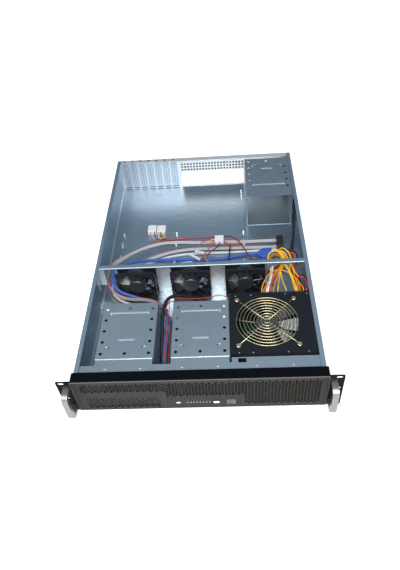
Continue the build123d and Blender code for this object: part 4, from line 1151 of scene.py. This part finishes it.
def makeSpots():
    for name, (finish, slot, foot, head, depth, segments, lean, middles) in spotSet.items():
        bm = bmesh.new()
        for spot in middles:
            addDisc(bm, spot, foot, head, depth, segments, lean)
        dress(pieceFrom(bm, name), [finish])
    # The painted highlight along the floor's bend at the left wall
    bm = bmesh.new()
    addBox(bm, *cornerHighlight)
    dress(pieceFrom(bm, "cornerHighlight"), ["highlightSteel"])


def declareCord(name, path=None):
    line = path or linePoints(routeOf(name))


def makeRoundCord(name):
    facts = cordSet[name]
    piece = routeCurve(name, routeOf(name), facts["width"])
    dress(piece, [facts["finish"]], replaced=[facts["node"]])
    declareCord(name)


def ribbonSection(half, pitch):
    # What is seen across a ribbon: a crown over each conductor, a valley between two
    crown = ribbonSet["thick"] / 2000
    valley = crown * ribbonSet["valley"]
    low, high = ribbonSet["crown"]
    top = [(-half, valley)]
    for index in range(ribbonSet["conductors"]):
        left = -half + index * pitch
        top += [(left + pitch * low, crown), (left + pitch * high, crown), (left + pitch, valley)]
    outline = top + [(side, -lift) for side, lift in reversed(top)]
    data = bpy.data.curves.new("section", "CURVE")
    data.dimensions = "2D"
    spline = data.splines.new("POLY")
    spline.points.add(len(outline) - 1)
    for point, (side, lift) in zip(spline.points, outline):
        point.co = (side, lift, 0, 1)
    spline.use_cyclic_u = True
    return linked("section", data)


def makeRibbon(name):
    # A flat cable: round conductors side by side, the first one marked red
    facts = cordSet[name]
    route = routeOf(name)
    half = facts["width"] / 2000
    pitch = 2 * half / ribbonSet["conductors"]
    tilts = [math.radians(tilt) for tilt in ribbonSet["tilts"]]
    tilts += [0.0] * (len(route) - len(tilts))
    section = ribbonSection(half, pitch)
    helper = routeCurve("helper", route, 0)
    for point, tilt in zip(helper.data.splines[0].points, tilts):
        point.tilt = tilt
    helper.data.twist_mode = "Z_UP"
    helper.data.bevel_mode = "OBJECT"
    helper.data.bevel_object = section
    helper.data.use_fill_caps = True
    mesh = meshOf(helper)
    dropCurve(section)
    line = linePoints(route)
    turns = [point.x for point in linePoints([Vector((tilt, 0, 0)) for tilt in tilts])]
    frames = [
        (point, across * math.cos(turn) - above * math.sin(turn))
        for (point, across, above), turn in zip(lineFrames(line), turns)
    ]
    finder = KDTree(len(line))
    for index, point in enumerate(line):
        finder.insert(point, index)
    finder.balance()
    bm = bmesh.new()
    bm.from_mesh(mesh)
    bpy.data.meshes.remove(mesh)
    bmesh.ops.remove_doubles(bm, verts=bm.verts[:], dist=ribbonSet["mergeReach"])
    bmesh.ops.recalc_face_normals(bm, faces=bm.faces[:])
    for face in bm.faces:
        centre = face.calc_center_median()
        point, across = frames[finder.find(centre)[1]]
        face.material_index = int((centre - point).dot(across) < -half + pitch)
    piece = pieceFrom(bm, name, smooth=True)
    dress(piece, ["greySheath", "redSheath"], replaced=[facts["node"]])
    declareCord(name, line)


def makeBundle(name):
    # Single wires that run together and change places as they go
    facts = cordSet[name]
    line = linePoints(routeOf(name))
    frames = lineFrames(line)
    colours = loomSet[name]
    reach = (facts["width"] - loomSet["wire"]) / 2000
    shuffle = random.Random(name)
    palette = sorted(set(colours))
    bm = bmesh.new()
    for index, colour in enumerate(colours):
        start = index / len(colours) * 2 * math.pi
        ring = reach if index % 3 else reach * loomSet["inner"]
        phase = shuffle.uniform(-loomSet["jitter"], loomSet["jitter"])
        strand = []
        for step, (point, across, above) in enumerate(frames):
            share = step / (len(frames) - 1)
            turn = start + phase + loomSet["twist"] * share
            sway = loomSet["sway"] * math.sin(loomSet["sways"] * share + index)
            out = ring * (loomSet["out"] + sway)
            strand.append(point + across * math.cos(turn) * out + above * math.sin(turn) * out)
        curve = routeCurve("strand", strand[::3] + [strand[-1]], loomSet["wire"], 3, 2)
        addWire(bm, curve, palette.index(colour))
    piece = pieceFrom(bm, name)
    dress(piece, sheaths(palette), replaced=[facts["node"]])
    declareCord(name, line)


for cord, wires in straySet.items():
    makeStrays(cord, wires)
for cord, slabs in plugSlabs.items():
    makeSlabs(cord, slabs)
makeBoot()
makeSpots()
print("stray wires and small plugs made")

for name in ("acLead", "frontLead", "blueLead", "greyLead"):
    makeRoundCord(name)
for name in ("ribbonUpper", "ribbonLower"):
    makeRibbon(name)
for name in ("loomLeft", "loomRight", "drivePowerLead", "fanPowerLead"):
    makeBundle(name)
print("cords laid,", len(cordSet))

makeCamera()
makeWorld()
makeLamps()
makeFloor()
bpy.context.scene.view_settings.view_transform = "Standard"
print("camera, light and floor set")
